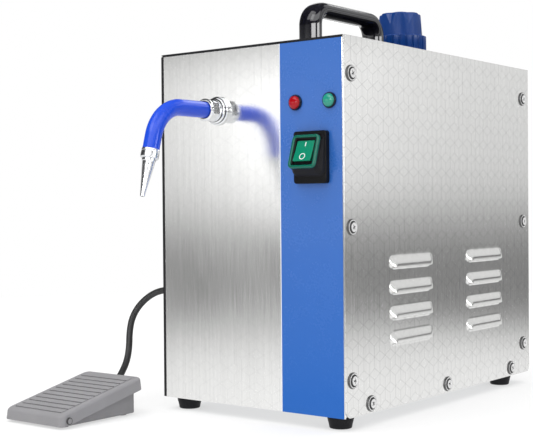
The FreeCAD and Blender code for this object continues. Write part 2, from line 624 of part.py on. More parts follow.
# ---------------------------------------------------------------- boiler
def boiler_tank():
    r, w, f = s.tank_radius, s.tank_wall, s.tank_flat
    low, high, rise = s.tank_low, s.tank_high, s.tank_shoulder
    profile = [(0.0, low), (f, low), (r, low + rise), (r, high - rise), (f, high), (0.0, high),
               (0.0, high - w), (f - w / 2, high - w), (r - w, high - rise - w / 2),
               (r - w, low + rise + w / 2), (f - w / 2, low + w), (0.0, low + w)]
    shell = turning("tank_shell", profile, casing(0.0, TANK_Y, 0.0), (0, 0, 1))
    boss_start = casing(0.0, TANK_Y - r - s.tank_shoulder / 2, s.heater_height)
    boss = rod("heater_boss", boss_start, (0, 1, 0), s.heater_flange_radius, s.tank_shoulder)
    port_start = casing(0.0, TANK_Y + r - 3 * w, s.drain_height)
    port = rod("drain_boss", port_start, (0, 1, 0), s.drain_boss_radius, s.tank_shoulder + 2 * w)
    inside = rod("tank_inside", casing(0.0, TANK_Y, low + rise), (0, 0, 1), r - w,
                 high - low - 2 * rise)
    bosses = cut("tank_bosses", fuse("boss_pair", [boss, port]), [inside])
    holes = [rod("heater_mouth", boss_start, (0, 1, 0), s.heater_mouth_radius,
                 3 * s.tank_shoulder),
             rod("drain_mouth", casing(0.0, TANK_Y + r - 4 * w, s.drain_height), (0, 1, 0),
                 s.drain_bore, 2 * s.tank_shoulder),
             rod("neck_mouth", casing(0.0, FILLER_Y, high - 2 * w), (0, 0, 1), s.neck_bore, 3 * w),
             rod("steam_mouth", casing(s.nozzle_x, STEAM_PIPE_Y, high - 2 * w), (0, 0, 1),
                 s.steam_pipe_bore, 3 * w),
             rod("safety_mouth", casing(s.valve_x, VALVE_Y, high - 2 * w), (0, 0, 1),
                 s.safety_bore / 2, 3 * w),
             rod("switch_mouth", casing(-1 * s.valve_x, VALVE_Y, high - 2 * w), (0, 0, 1),
                 s.steam_pipe_bore, 3 * w)]
    return piece("boiler_tank", cut("boiler_tank", fuse("tank_body", [shell, bosses]), holes))


def boiler_stand():
    """A ring under the tank with four windows cut through its wall."""
    ring = tube("stand_ring", casing(0.0, TANK_Y, s.sheet_gauge), (0, 0, 1), s.stand_radius,
                s.stand_radius - s.stand_wall, s.tank_low - s.sheet_gauge)
    window = s.stand_radius
    slots = [box("stand_slot_" + label,
                 casing(-1 * across / 2, TANK_Y - along / 2, s.sheet_gauge + s.stand_rim),
                 (across, along, s.tank_low - s.sheet_gauge - 2 * s.stand_rim))
             for label, across, along in (("x", 3 * window, window), ("y", window, 3 * window))]
    return piece("boiler_stand", cut("boiler_stand", ring, slots))


def insulation_jacket():
    inner = s.tank_radius + s.jacket_gap
    jacket = tube("jacket_ring", casing(0.0, TANK_Y, s.jacket_low), (0, 0, 1),
                  inner + s.jacket_wall, inner, s.jacket_high - s.jacket_low)
    front = rod("jacket_front", casing(0.0, TANK_Y, s.heater_height), (0, -1, 0),
                s.heater_flange_radius + s.jacket_hole_gap, s.tank_radius * 2)
    back = rod("jacket_back", casing(0.0, TANK_Y, s.drain_height), (0, 1, 0),
               s.drain_boss_radius + s.jacket_hole_gap, s.tank_radius * 2)
    return piece("insulation_jacket", cut("insulation_jacket", jacket, [front, back]))


def heater():
    """A hairpin immersion heater on a round flange at the front of the tank."""
    face_y = TANK_Y - s.tank_radius - s.tank_shoulder / 2
    back_y = face_y - s.heater_flange_gauge
    rows = (s.heater_height - s.heater_rod_rise, s.heater_height + s.heater_rod_rise)
    flange = rod("flange_disc", casing(0.0, back_y, s.heater_height), (0, 1, 0),
                 s.heater_flange_radius, s.heater_flange_gauge)
    holes = [rod("flange_hole_" + str(index), casing(0.0, back_y, z), (0, 1, 0),
                 s.heater_rod_radius, s.heater_flange_gauge) for index, z in enumerate(rows)]
    piece("heater_flange", cut("heater_flange", flange, holes))
    start_y = float(back_y - s.heater_tail)
    reach = float(s.heater_reach)
    low, high = [vector(casing(0.0, 0.0, z)) + Vector(0, start_y, 0) for z in rows]
    radius = (high.z - low.z) / 2
    far = Vector(0, reach, 0)
    wire = Part.Wire([Part.LineSegment(low, low + far).toShape(),
                      Part.Arc(low + far, (low + high) / 2 + far + Vector(0, radius, 0),
                               high + far).toShape(),
                      Part.LineSegment(high + far, high).toShape()])
    piece("heater_element", swept("heater_element", wire, low, Vector(0, 1, 0),
                                  float(s.heater_rod_radius)))


def filler_neck():
    length = s.body_height + s.neck_proud - s.tank_high
    neck = tube("filler_neck", casing(0.0, FILLER_Y, s.tank_high), (0, 0, 1), s.neck_radius,
                s.neck_bore, length)
    return piece("filler_neck", neck)


def tab(name, foot):
    """An upright push-on terminal standing on a point."""
    return box(name, (foot[0] - s.tab_wide / 2, foot[1] - s.tab_gauge / 2, foot[2]),
               (s.tab_wide, s.tab_gauge, s.tab_rise))


def pressure_switch():
    x, y, base = -1 * s.valve_x, VALVE_Y, s.tank_high
    stub = rod("pressure_stub", casing(x, y, base), (0, 0, 1), s.pressure_stub_radius,
               s.pressure_stub)
    can = rod("pressure_can", casing(x, y, base + s.pressure_stub), (0, 0, 1),
              s.pressure_can_radius, s.pressure_can)
    tag = tab("pressure_tag", casing(x, y, base + s.pressure_stub + s.pressure_can))
    return piece("pressure_switch", fuse("pressure_switch", [stub, can, tag]))


def safety_valve():
    """A spring-loaded relief valve: body, poppet on its seat, and the spring above it."""
    x, y, base = s.valve_x, VALVE_Y, s.tank_high
    radius, bore, tall = s.safety_radius, s.safety_bore, s.safety_height
    thread, neck, seat, lid = s.safety_thread_radius, s.safety_neck, s.safety_seat, s.safety_lid
    profile = [(bore / 2, 0.0), (thread, 0.0), (thread, neck), (radius, neck), (radius, tall),
               (bore / 2, tall), (bore / 2, tall - lid), (bore, tall - lid), (bore, seat),
               (bore / 2, seat)]
    body = turning("safety_body", profile, casing(x, y, base), (0, 0, 1))
    vents = rod("safety_vent", casing(x - 2 * radius, y, base + seat + s.vent_rise), (1, 0, 0),
                s.vent_radius, 4 * radius)
    piece("safety_valve_body", cut("safety_valve_body", body, [vents]))
    disc = rod("poppet_disc", casing(x, y, base + seat + s.poppet_lap), (0, 0, 1),
               bore - s.poppet_gap, s.poppet_gauge)
    stem_start = seat + s.poppet_gauge / 2
    stem = rod("poppet_stem", casing(x, y, base + stem_start), (0, 0, 1),
               bore / 2 - s.poppet_gap, tall + s.stem_proud - stem_start)
    piece("safety_valve_poppet", fuse("safety_valve_poppet", [disc, stem]))
    wire, foot = s.safety_wire_radius, seat + s.poppet_gauge + s.safety_wire_radius + s.spring_gap
    coil = coil_spring(bore * 0.75, wire, tall - lid - foot - wire - s.spring_gap, s.safety_coils)
    at = casing(x, y, base + foot)
    piece("safety_valve_spring", place(feature("safety_valve_spring", coil), at))


def coil_spring(radius, wire_radius, height, turns):
    radius, height = float(radius), float(height)
    helix = Part.makeHelix(height / float(turns), height, radius)
    circle = Part.Circle(Vector(radius, 0, 0), Vector(0, 1, 0), float(wire_radius))
    circle = Part.Wire(circle.toShape())
    return Part.Wire(helix).makePipeShell([circle], True, True)


def steam_pipe():
    """From the dry top of the tank up and forward to the solenoid valve."""
    start = vector(casing(s.nozzle_x, STEAM_PIPE_Y, s.tank_high))
    corner = vector(casing(s.nozzle_x, STEAM_PIPE_Y, NOZZLE_HEIGHT))
    end = vector(casing(s.nozzle_x, s.solenoid_back, NOZZLE_HEIGHT))
    wire = Part.Wire([part.toShape() for part in bent_wire(start, corner, end,
                                                           float(s.steam_pipe_bend))])
    piece("steam_pipe", swept("steam_pipe", wire, start, Vector(0, 0, 1),
                              float(s.steam_pipe_radius), float(s.steam_pipe_bore)))


# ---------------------------------------------------------------- solenoid valve
def solenoid():
    x, z, half = s.nozzle_x, NOZZLE_HEIGHT, s.solenoid_width / 2
    front = s.union_tail
    length = s.solenoid_back - front
    middle = front + length / 2
    block = box("valve_block", casing(x - half, front, z - s.solenoid_drop),
                (s.solenoid_width, length, 2 * s.solenoid_drop))
    top = z + s.solenoid_drop
    guide = rod("valve_guide", casing(x, middle, top), (0, 0, 1), s.guide_radius,
                s.coil_height + s.guide_proud)
    passage = rod("valve_passage", casing(x, front, z), (0, 1, 0), s.steam_pipe_bore, length)
    well = rod("plunger_well", casing(x, middle, z), (0, 0, 1),
               s.plunger_radius + s.swivel_clearance, s.solenoid_drop + s.coil_height)
    piece("solenoid_body", cut("solenoid_body", fuse("valve_casting", [block, guide]),
                               [passage, well]))
    coil = box("coil_block", casing(x - half, middle - half, top),
               (s.solenoid_width, s.solenoid_width, s.coil_height))
    core = rod("coil_bore", casing(x, middle, top), (0, 0, 1), s.guide_radius + s.snap_gap,
               s.coil_height)
    piece("solenoid_coil", cut("solenoid_coil", coil, [core]))
    start = s.steam_pipe_bore + s.plunger_gap
    plunger = rod("solenoid_plunger", casing(x, middle, z + start), (0, 0, 1), s.plunger_radius,
                  s.solenoid_drop + s.coil_height - start - s.plunger_lift - s.plunger_gap)
    piece("solenoid_plunger", plunger)


# ---------------------------------------------------------------- nozzle
def nozzle_union():
    """Chrome wall union: escutcheon, barrel for the hose, tail inside the casing, and its nut."""
    r, tail = s.union_radius, s.union_tail
    reach, plate_r, gauge = s.union_length, s.escutcheon_radius, s.escutcheon_gauge
    hose_hole = s.hose_radius + s.swivel_clearance
    pipe_hole = s.pipe_radius + s.swivel_clearance
    thread, spigot, bead, edge = (s.union_thread_radius, s.union_spigot_radius, s.union_bead,
                                  s.union_edge)
    profile = [(s.steam_pipe_bore, -1 * tail), (thread, -1 * tail), (thread, -1 * s.sheet_gauge),
               (spigot, -1 * s.sheet_gauge), (spigot, 0.0), (plate_r, 0.0),
               (plate_r, gauge), (r + bead, gauge + bead), (r + bead, gauge * 2),
               (r, gauge * 2 + bead), (r, reach - edge), (r - edge, reach), (hose_hole, reach),
               (hose_hole, reach - s.hose_seat), (pipe_hole, reach - s.hose_seat),
               (pipe_hole, s.pipe_stop), (s.steam_pipe_bore, s.pipe_stop)]
    union = turning("nozzle_union", profile, casing(s.nozzle_x, 0.0, NOZZLE_HEIGHT), (0, -1, 0))
    piece("nozzle_union", union)
    behind = casing(s.nozzle_x, s.sheet_gauge, NOZZLE_HEIGHT)
    nut = hexagon("nut_blank", behind, (0, 1, 0), s.union_nut_radius, s.union_nut_gauge)
    hole = rod("nut_hole", behind, (0, 1, 0), thread, s.union_nut_gauge)
    return cut("union_locknut", nut, [hole])


def nozzle_route():
    """The nozzle's centre line: straight out, one bend down, and a short straight tail."""
    turn = math.radians(float(s.hose_turn))
    bend, straight = float(s.hose_bend), float(s.hose_straight)
    wall = vector(casing(s.nozzle_x, 0.0, NOZZLE_HEIGHT))
    enter = wall + Vector(0, -straight, 0)
    heading = Vector(0, -math.cos(turn), -math.sin(turn))
    centre = enter + Vector(0, 0, -bend)
    leave = centre + Vector(0, -math.sin(turn), math.cos(turn)) * bend
    middle = centre + Vector(0, -math.sin(turn / 2), math.cos(turn / 2)) * bend
    end = leave + heading * float(s.hose_tail)
    return wall, enter, middle, leave, end, heading


def nozzle_arm():
    wall, enter, middle, leave, end, heading = nozzle_route()

    def line(start_distance):
        start = wall + Vector(0, -start_distance, 0)
        return start, Part.Wire([Part.LineSegment(start, enter).toShape(),
                                 Part.Arc(enter, middle, leave).toShape(),
                                 Part.LineSegment(leave, end).toShape()])
    start, wire = line(float(s.union_length - s.hose_seat + s.seat_gap))
    piece("nozzle_hose", swept("nozzle_hose", wire, start, Vector(0, -1, 0),
                               float(s.hose_radius), float(s.pipe_radius)))
    start, wire = line(float(s.pipe_stop + s.seat_gap))
    piece("nozzle_pipe", swept("nozzle_pipe", wire, start, Vector(0, -1, 0),
                               float(s.pipe_radius), float(s.pipe_bore)))
    r, long, edge = s.collar_radius, s.collar_length, s.collar_edge
    collar = [(s.pipe_bore, 0.0), (r - edge, 0.0), (r, edge), (r, long - edge), (r - edge, long),
              (s.pipe_bore, long)]
    piece("nozzle_collar", turning("nozzle_collar", collar, tuple(end), tuple(heading)))
    tip, throat = s.tip_length, s.tip_throat
    nose = [(s.pipe_bore, 0.0), (s.tip_base_radius, 0.0), (s.tip_base_radius, s.tip_land),
            (s.tip_radius, tip), (s.tip_bore, tip), (s.tip_bore, tip - throat),
            (s.pipe_bore, throat)]
    tip_at = end + heading * float(long)
    piece("nozzle_tip", turning("nozzle_tip", nose, tuple(tip_at), tuple(heading)))


# ---------------------------------------------------------------- filler cap
def filler_cap():
    """Screw cap: ribbed skirt, a plain knob with sloping finger facets, a plug and a gasket."""
    base, neck_top = s.body_height, s.neck_proud
    bore, ring = s.neck_radius + s.neck_clearance, s.cap_ring_radius
    plug_foot = neck_top + s.gasket_gauge
    roof = plug_foot + s.plug_gauge + s.seat_gap
    stud, stud_top = s.plug_stud_radius + s.seat_gap, roof + s.plug_stud_rise
    profile = [(bore, s.cap_skirt_gap), (ring, s.cap_skirt_gap), (ring, s.cap_ring_top),
               (s.cap_knob_low_radius, s.cap_ring_top), (s.cap_knob_top_radius, s.cap_top - s.cap_edge),
               (s.cap_knob_top_radius - s.cap_edge, s.cap_top), (0.0, s.cap_top), (0.0, stud_top),
               (stud, stud_top), (stud, roof), (bore, roof)]
    knob = turning("cap_knob_form", profile, casing(0.0, FILLER_Y, base), (0, 0, 1))
    piece("cap_knob", cut("cap_knob", knob, cap_grooves() + [cap_facets()]))
    foot = casing(0.0, FILLER_Y, base + plug_foot)
    plug = rod("plug_disc", foot, (0, 0, 1), s.cap_plug_radius, s.plug_gauge)
    swivel = rod("plug_stud", foot, (0, 0, 1), s.plug_stud_radius, s.plug_gauge + s.plug_stud_rise)
    spigot_radius = s.neck_bore - s.spigot_gap
    spigot = rod("plug_spigot", foot, (0, 0, -1), spigot_radius, s.spigot_reach)
    piece("cap_plug", fuse("cap_plug", [plug, swivel, spigot]))
    piece("cap_gasket", tube("cap_gasket", casing(0.0, FILLER_Y, base + neck_top), (0, 0, 1),
                             s.neck_radius - s.gasket_inset, spigot_radius, s.gasket_gauge))


def cap_grooves():
    """Upright grooves round the skirt of the cap."""
    grooves = []
    for index in range(int(s.cap_ribs)):
        out = Rotation(Vector(0, 0, 1), 360.0 * index / float(s.cap_ribs))
        out = out.multVec(Vector(float(s.cap_ring_radius), 0, 0))
        grooves.append(rod("cap_groove_" + str(index),
                           casing(out.x, FILLER_Y + out.y, s.body_height + s.cap_skirt_gap),
                           (0, 0, 1), s.cap_groove, s.cap_ring_top - s.cap_skirt_gap))
    return grooves


def cap_facets():
    """Flat cutters leaning inwards round the knob, kept above the skirt."""
    reach = float(s.cap_ring_radius)
    facets = []
    for index in range(int(s.cap_facets)):
        turn = Rotation(Vector(0, 0, 1), 360.0 * index / float(s.cap_facets))
        lean = turn.multiply(Rotation(Vector(0, 1, 0), -float(s.facet_slope)))
        corner = turn.multVec(Vector(float(s.cap_knob_top_radius - s.facet_depth), 0, 0))
        shift = lean.multVec(Vector(0, -reach / 2, -reach))
        facets.append(box("cap_facet_" + str(index),
                          casing(corner.x + shift.x, FILLER_Y + corner.y + shift.y,
                                 s.body_height + s.cap_top + shift.z),
                          (reach, reach, 2 * reach), lean))
    zone = box("cap_facet_zone",
               casing(-2 * reach, FILLER_Y - 2 * reach,
                      s.body_height + s.cap_ring_top + s.facet_foot),
               (4 * reach, 4 * reach, 2 * reach))
    kept = DOC.addObject("Part::Common", "cap_facet_cutters")
    kept.Base = fuse("cap_facets", facets)
    kept.Tool = zone
    return kept


# ---------------------------------------------------------------- lamps
def lamp(colour, x):
    at = casing(x, -1 * s.stripe_gauge, LAMP_HEIGHT)
    r, lens, hole, proud = s.lamp_radius, s.lamp_lens_radius, s.lamp_hole_radius, s.lamp_proud
    skin = s.stripe_gauge + s.sheet_gauge
    back, sleeve = -1 * skin - s.lamp_sleeve, hole - s.seat_gap
    bezel = [(lens, back), (sleeve, back), (sleeve, 0.0), (r, 0.0), (r, s.lamp_flange),
             (r - s.lamp_bevel, proud), (lens, proud)]
    ring = turning(colour + "_lamp_bezel", bezel, at, (0, -1, 0))
    inner = lens - s.snap_gap
    core = [(0.0, -1 * s.lamp_depth), (inner, -1 * s.lamp_depth), (inner, proud + s.lens_land),
            (s.lens_nose_radius, proud + s.lens_shoulder), (0.0, proud + s.lens_rise)]
    piece(colour + "_lamp_lens", turning(colour + "_lamp_lens", core, at, (0, -1, 0)))
    return ring


# ---------------------------------------------------------------- power switch
CLEAR = 60.0  # wider and deeper than the whole switch, for the zones that trim its tilted blocks


def switch_frame():
    """The tilted frame of the switch: origin at the bezel's face centre, y into the machine."""
    tilt = Rotation(Vector(1, 0, 0), -float(s.bezel_tilt))
    origin = casing(SWITCH_X, -1 * s.bezel_proud, BEZEL_HEIGHT)
    return origin, tilt


def tilted(u, depth, v):
    origin, tilt = switch_frame()
    move = tilt.multVec(Vector(float(u), float(depth), float(v)))
    return (origin[0] + move.x, origin[1] + move.y, origin[2] + move.z)


def tilted_box(name, wide, tall, depth_from, depth_to):
    _, tilt = switch_frame()
    return box(name, tilted(-1 * wide / 2, depth_from, -1 * tall / 2),
               (wide, depth_to - depth_from, tall), tilt)


def power_switch():
    base = box("switch_base", casing(SWITCH_X - s.switch_base_wide / 2,
                                     -1 * s.stripe_gauge - s.switch_base_gauge,
                                     SWITCH_HEIGHT - s.switch_base_tall / 2),
               (s.switch_base_wide, s.switch_base_gauge, s.switch_base_tall))
    boot = tilted_box("switch_boot", s.bezel_wide, s.bezel_tall, s.bezel_gauge, s.boot_reach)
    front_zone = box("boot_zone", casing(SWITCH_X - CLEAR, -CLEAR, SWITCH_HEIGHT - CLEAR),
                     (2 * CLEAR, CLEAR - s.stripe_gauge, 2 * CLEAR))
    kept = DOC.addObject("Part::Common", "switch_boot_kept")
    kept.Base = boot
    kept.Tool = front_zone
    core_wide, core_tall = SWITCH_CUTOUT_WIDE, SWITCH_CUTOUT_TALL
    well = box("housing_well",
               casing(SWITCH_X - core_wide / 2, -CLEAR, BEZEL_HEIGHT - core_tall / 2),
               (core_wide, CLEAR, core_tall))
    mouth = tilted_box("housing_mouth", core_wide, core_tall, -1 * s.bezel_gauge, s.mouth_depth)
    piece("switch_housing", cut("switch_housing", fuse("housing_form", [base, kept]),
                                [well, mouth]))
    ring = tilted_box("bezel_blank", s.bezel_wide, s.bezel_tall, 0.0, s.bezel_gauge)
    hole = tilted_box("bezel_hole", s.opening_wide, s.opening_tall, -1 * s.bezel_gauge,
                      2 * s.bezel_gauge)
    piece("switch_bezel", cut("switch_bezel", ring, [hole]))
    gap, behind_bezel = s.core_gap, s.bezel_gauge + s.snap_gap
    throat = tilted_box("core_throat", s.opening_wide, s.opening_tall, s.throat_inset,
                        s.throat_depth)
    flare = tilted_box("core_flare", core_wide - 2 * gap, core_tall - s.flare_inset, behind_bezel,
                       s.throat_depth)
    body = box("core_body", casing(SWITCH_X - core_wide / 2 + gap, -1 * s.core_lead,
                                   BEZEL_HEIGHT - core_tall / 2 + gap),
               (core_wide - 2 * gap, s.core_depth, core_tall - 2 * gap))
    behind = tilted_box("core_behind", CLEAR, CLEAR, behind_bezel, CLEAR)
    body_kept = DOC.addObject("Part::Common", "core_body_kept")
    body_kept.Base = body
    body_kept.Tool = behind
    pocket = tilted_box("core_pocket", s.rocker_wide + 2 * s.rocker_gap,
                        s.rocker_tall + 2 * s.rocker_sweep, -1 * s.bezel_gauge, s.pocket_depth)
    core = cut("core_hollow", fuse("core_form", [throat, flare, body_kept]), [pocket])
    pins = []
    for index, (across, up) in enumerate(((-1, -1), (1, -1), (-1, 1), (1, 1))):
        pins.append(box("switch_pin_" + str(index),
                        casing(SWITCH_X + across * s.switch_tab_across - s.tab_wide / 2,
                               s.core_depth - s.core_lead,
                               BEZEL_HEIGHT + up * s.switch_tab_up - s.tab_gauge / 2),
                        (s.tab_wide, s.switch_tab, s.tab_gauge)))
    piece("switch_body", fuse("switch_body", [core] + pins))
    rocker()


def rocker():
    """A flat-faced rocker on its pivot, at rest with its upper end pressed in."""
    face = float(s.rocker_pivot_depth - s.rocker_sink)
    half = float(s.rocker_tall) / 2
    keel, keel_half = -float(s.rocker_keel_depth), float(s.rocker_keel_tall) / 2
    outline = [(-half, face), (half, face), (keel_half, keel), (-keel_half, keel)]
    wide = float(s.rocker_wide)
    points = [Vector(-wide / 2, -up, along) for along, up in outline]
    side = Part.Face(Part.makePolygon(points + points[:1]))
    form = side.extrude(Vector(wide, 0, 0))
    long_edges = [edge for edge in form.Edges if abs(edge.Length - wide) < 1e-6]
    form = form.makeFillet(float(s.rocker_edge), long_edges)
    rest = Rotation(Vector(1, 0, 0), -float(s.bezel_tilt) - float(s.rocker_swing))
    piece("switch_rocker", place(feature("switch_rocker", form),
                                 tilted(0.0, s.rocker_pivot_depth, 0.0), rest))


# ---------------------------------------------------------------- rear connections and electrics
def power_inlet():
    back, wall = s.body_depth, s.inlet_wall
    x, z = s.inlet_x, s.inlet_height
    flange = box("inlet_flange", casing(x - s.inlet_flange_wide / 2, back,
                                        z - s.inlet_flange_tall / 2),
                 (s.inlet_flange_wide, s.inlet_flange_gauge, s.inlet_flange_tall))
    shell = box("inlet_shell", casing(x - s.inlet_wide / 2 - wall, back - s.inlet_depth,
                                      z - s.inlet_tall / 2 - wall),
                (s.inlet_wide + 2 * wall, s.inlet_depth, s.inlet_tall + 2 * wall))
    floor = back - s.inlet_depth + s.inlet_floor
    cavity = box("inlet_cavity", casing(x - s.inlet_wide / 2, floor, z - s.inlet_tall / 2),
                 (s.inlet_wide, s.inlet_depth + s.inlet_flange_gauge, s.inlet_tall))
    pins = [box("inlet_pin_" + str(index),
                casing(x + across * s.inlet_pin_spread - s.inlet_pin_wide / 2, floor,
                       z + up * s.inlet_pin_drop - s.inlet_pin_tall / 2),
                (s.inlet_pin_wide, s.inlet_pin_reach, s.inlet_pin_tall))
            for index, (across, up) in enumerate(((-1, -1), (0, 1), (1, -1)))]
    piece("inlet_pins", compound("inlet_pins", pins))
    piece("power_inlet", cut("power_inlet", fuse("inlet_form", [flange, shell]), [cavity]))


def drain_valve():
    """Ball valve on the rear panel: body with spout, ball and stem, and a quarter-turn lever."""
    back, z = s.body_depth, s.drain_height
    r, long, spout, tail = s.drain_radius, s.drain_length, s.drain_spout, s.drain_tail
    centre = casing(0.0, back + long / 2, z)
    body = rod("drain_barrel", casing(0.0, back, z), (0, 1, 0), r, long)
    nose = rod("drain_nose", casing(0.0, back + long, z), (0, 1, 0), s.drain_spout_radius, spout)
    stub = rod("drain_tail", casing(0.0, back, z), (0, -1, 0), s.drain_spout_radius, tail)
    tower = rod("drain_tower", centre, (0, 0, 1), s.tower_radius, r + s.tower_rise)
    bore = rod("drain_run", casing(0.0, back - tail, z), (0, 1, 0), s.drain_bore,
               long + spout + tail)
    shaft = rod("drain_shaft_hole", centre, (0, 0, 1), s.stem_radius + s.swivel_clearance,
                r + s.tower_rise)
    room = DOC.addObject("Part::Sphere", "drain_room")
    bind(room, Radius=s.drain_ball_radius + s.drain_ball_gap)
    place(room, centre)
    piece("drain_valve_body", cut("drain_valve_body",
                                  fuse("drain_form", [body, nose, stub, tower]),
                                  [bore, shaft, room]))
    ball = DOC.addObject("Part::Sphere", "drain_sphere")
    bind(ball, Radius=s.drain_ball_radius)
    place(ball, centre)
    lift = r + s.tower_rise + s.lever_gap
    stem = rod("drain_stem", centre, (0, 0, 1), s.stem_radius, lift + s.lever_gauge)
    port = rod("drain_port", casing(-1 * r, back + long / 2, z), (1, 0, 0), s.drain_bore, 2 * r)
    piece("drain_ball", cut("drain_ball", fuse("drain_ball_form", [ball, stem]), [port]))
    piece("drain_lever", drain_lever(z + lift))
    pipe_start = TANK_Y + s.tank_radius - s.tank_wall + s.tank_shoulder
    pipe = tube("drain_pipe", casing(0.0, pipe_start, z), (0, 1, 0), s.drain_spout_radius,
                s.drain_bore, back - tail - pipe_start)
    piece("drain_pipe", pipe)


def drain_lever(height):
    """The lever across the valve, with its dipped grip, and the nut that holds it on the stem."""
    middle = s.body_depth + s.drain_length / 2
    arm = box("lever_arm", casing(-1 * s.lever_length, middle - s.lever_wide / 2, height),
              (s.lever_length, s.lever_wide, s.lever_gauge))
    hub = rod("lever_hub", casing(0.0, middle, height), (0, 0, 1), s.lever_wide / 2, s.lever_gauge)
    grip = box("lever_grip", casing(-1 * s.lever_length - s.grip_over,
                                    middle - s.lever_wide / 2 - s.grip_side,
                                    height + s.lever_gauge),
               (s.grip_length, s.lever_wide + 2 * s.grip_side, s.grip_gauge))
    hole = rod("lever_hole", casing(0.0, middle, height), (0, 0, 1), s.stem_radius, s.lever_gauge)
    nut = rod("lever_nut", casing(0.0, middle, height + s.lever_gauge), (0, 0, 1),
              s.lever_nut_radius, s.lever_nut_gauge)
    return compound("drain_lever", [cut("lever_plate", fuse("lever_form", [arm, hub, grip]), [hole]),
                                    nut])


def electrics():
    x, y, floor = s.terminal_x, s.terminal_y, s.sheet_gauge
    block = box("terminal_bar", casing(x - s.terminal_long / 2, y - s.terminal_wide / 2, floor),
                (s.terminal_long, s.terminal_wide, s.terminal_tall))
    first = x - s.terminal_pitch * (s.terminal_ways - 1) / 2
    wells = [rod("terminal_well_" + str(index),
                 casing(first + index * s.terminal_pitch, y, floor + s.well_floor),
                 (0, 0, 1), s.well_radius, s.terminal_tall)
             for index in range(int(s.terminal_ways))]
    piece("terminal_block", cut("terminal_block", block, wells))
    relay = box("relay_case", casing(s.relay_x - s.relay_wide / 2, s.relay_y - s.relay_deep / 2, floor),
                (s.relay_wide, s.relay_deep, s.relay_tall))
    tabs = [tab("relay_tab_" + str(index),
                casing(s.relay_x + across * s.relay_tab_across, s.relay_y + along * s.relay_tab_along,
                       floor + s.relay_tall))
            for index, (across, along) in enumerate(((-1, -1), (1, -1), (-1, 1), (1, 1)))]
    piece("heater_relay", fuse("heater_relay", [relay] + tabs))


# ---------------------------------------------------------------- foot pedal
PEDAL_RISE = (s.pedal_back_height - s.pedal_front_height) / s.pedal_long


def pedal_top(y):
    """Height of the treadle's sloping face at a distance from its front edge."""
    return s.pedal_front_height + PEDAL_RISE * y


def pedal_plate():
    wall, long = s.pedal_wall, s.pedal_long
    skirt_back = s.pedal_back_height - s.pedal_skirt
    hem = s.pedal_pad + s.pedal_skirt_gap
    outline = [(0.0, hem), (0.0, s.pedal_front_height), (long, s.pedal_back_height),
               (long, skirt_back), (s.treadle_toe, hem)]
    shell = plate("treadle_form", "YZ_Plane", outline, s.pedal_wide, midplane=True)
    place(shell, pedal(0.0, 0.0, 0.0))
    roof = s.pedal_roof
    inner = [(wall, -1 * wall), (wall, pedal_top(wall) - roof),
             (long - wall, pedal_top(long - wall) - roof), (long - wall, -1 * wall)]
    hollow = plate("treadle_hollow", "YZ_Plane", inner, s.pedal_wide - 2 * wall, midplane=True)
    place(hollow, pedal(0.0, 0.0, 0.0))
    pin = rod("treadle_pin_hole", pedal(-1 * s.pedal_wide, s.pedal_pivot_y, s.pedal_pivot_height),
              (1, 0, 0), s.pedal_pin_radius + s.swivel_clearance, 2 * s.pedal_wide)
    slope = Rotation(Vector(1, 0, 0), math.degrees(math.atan(float(PEDAL_RISE))))
    count = int(s.pedal_grooves)
    pitch = (long - 2 * s.pedal_margin) / (count - 1)
    grooves = []
    for index in range(count):
        y = s.pedal_margin + pitch * index
        grooves.append(box("treadle_groove_" + str(index),
                           pedal(s.pedal_margin - s.pedal_wide / 2, y - s.pedal_groove_wide / 2,
                                 pedal_top(y) - s.pedal_groove_depth),
                           (s.pedal_wide - 2 * s.pedal_margin, s.pedal_groove_wide,
                            4 * s.pedal_groove_depth), slope))
    notch_half = s.relief_radius + s.notch_side
    notch = box("treadle_notch", pedal(s.relief_side - notch_half, long - 2 * wall, 0.0),
                (2 * notch_half, 3 * wall, s.relief_height + s.relief_radius + s.notch_rise))
    piece("pedal_plate", cut("pedal_plate", shell, [hollow, pin, notch] + grooves))


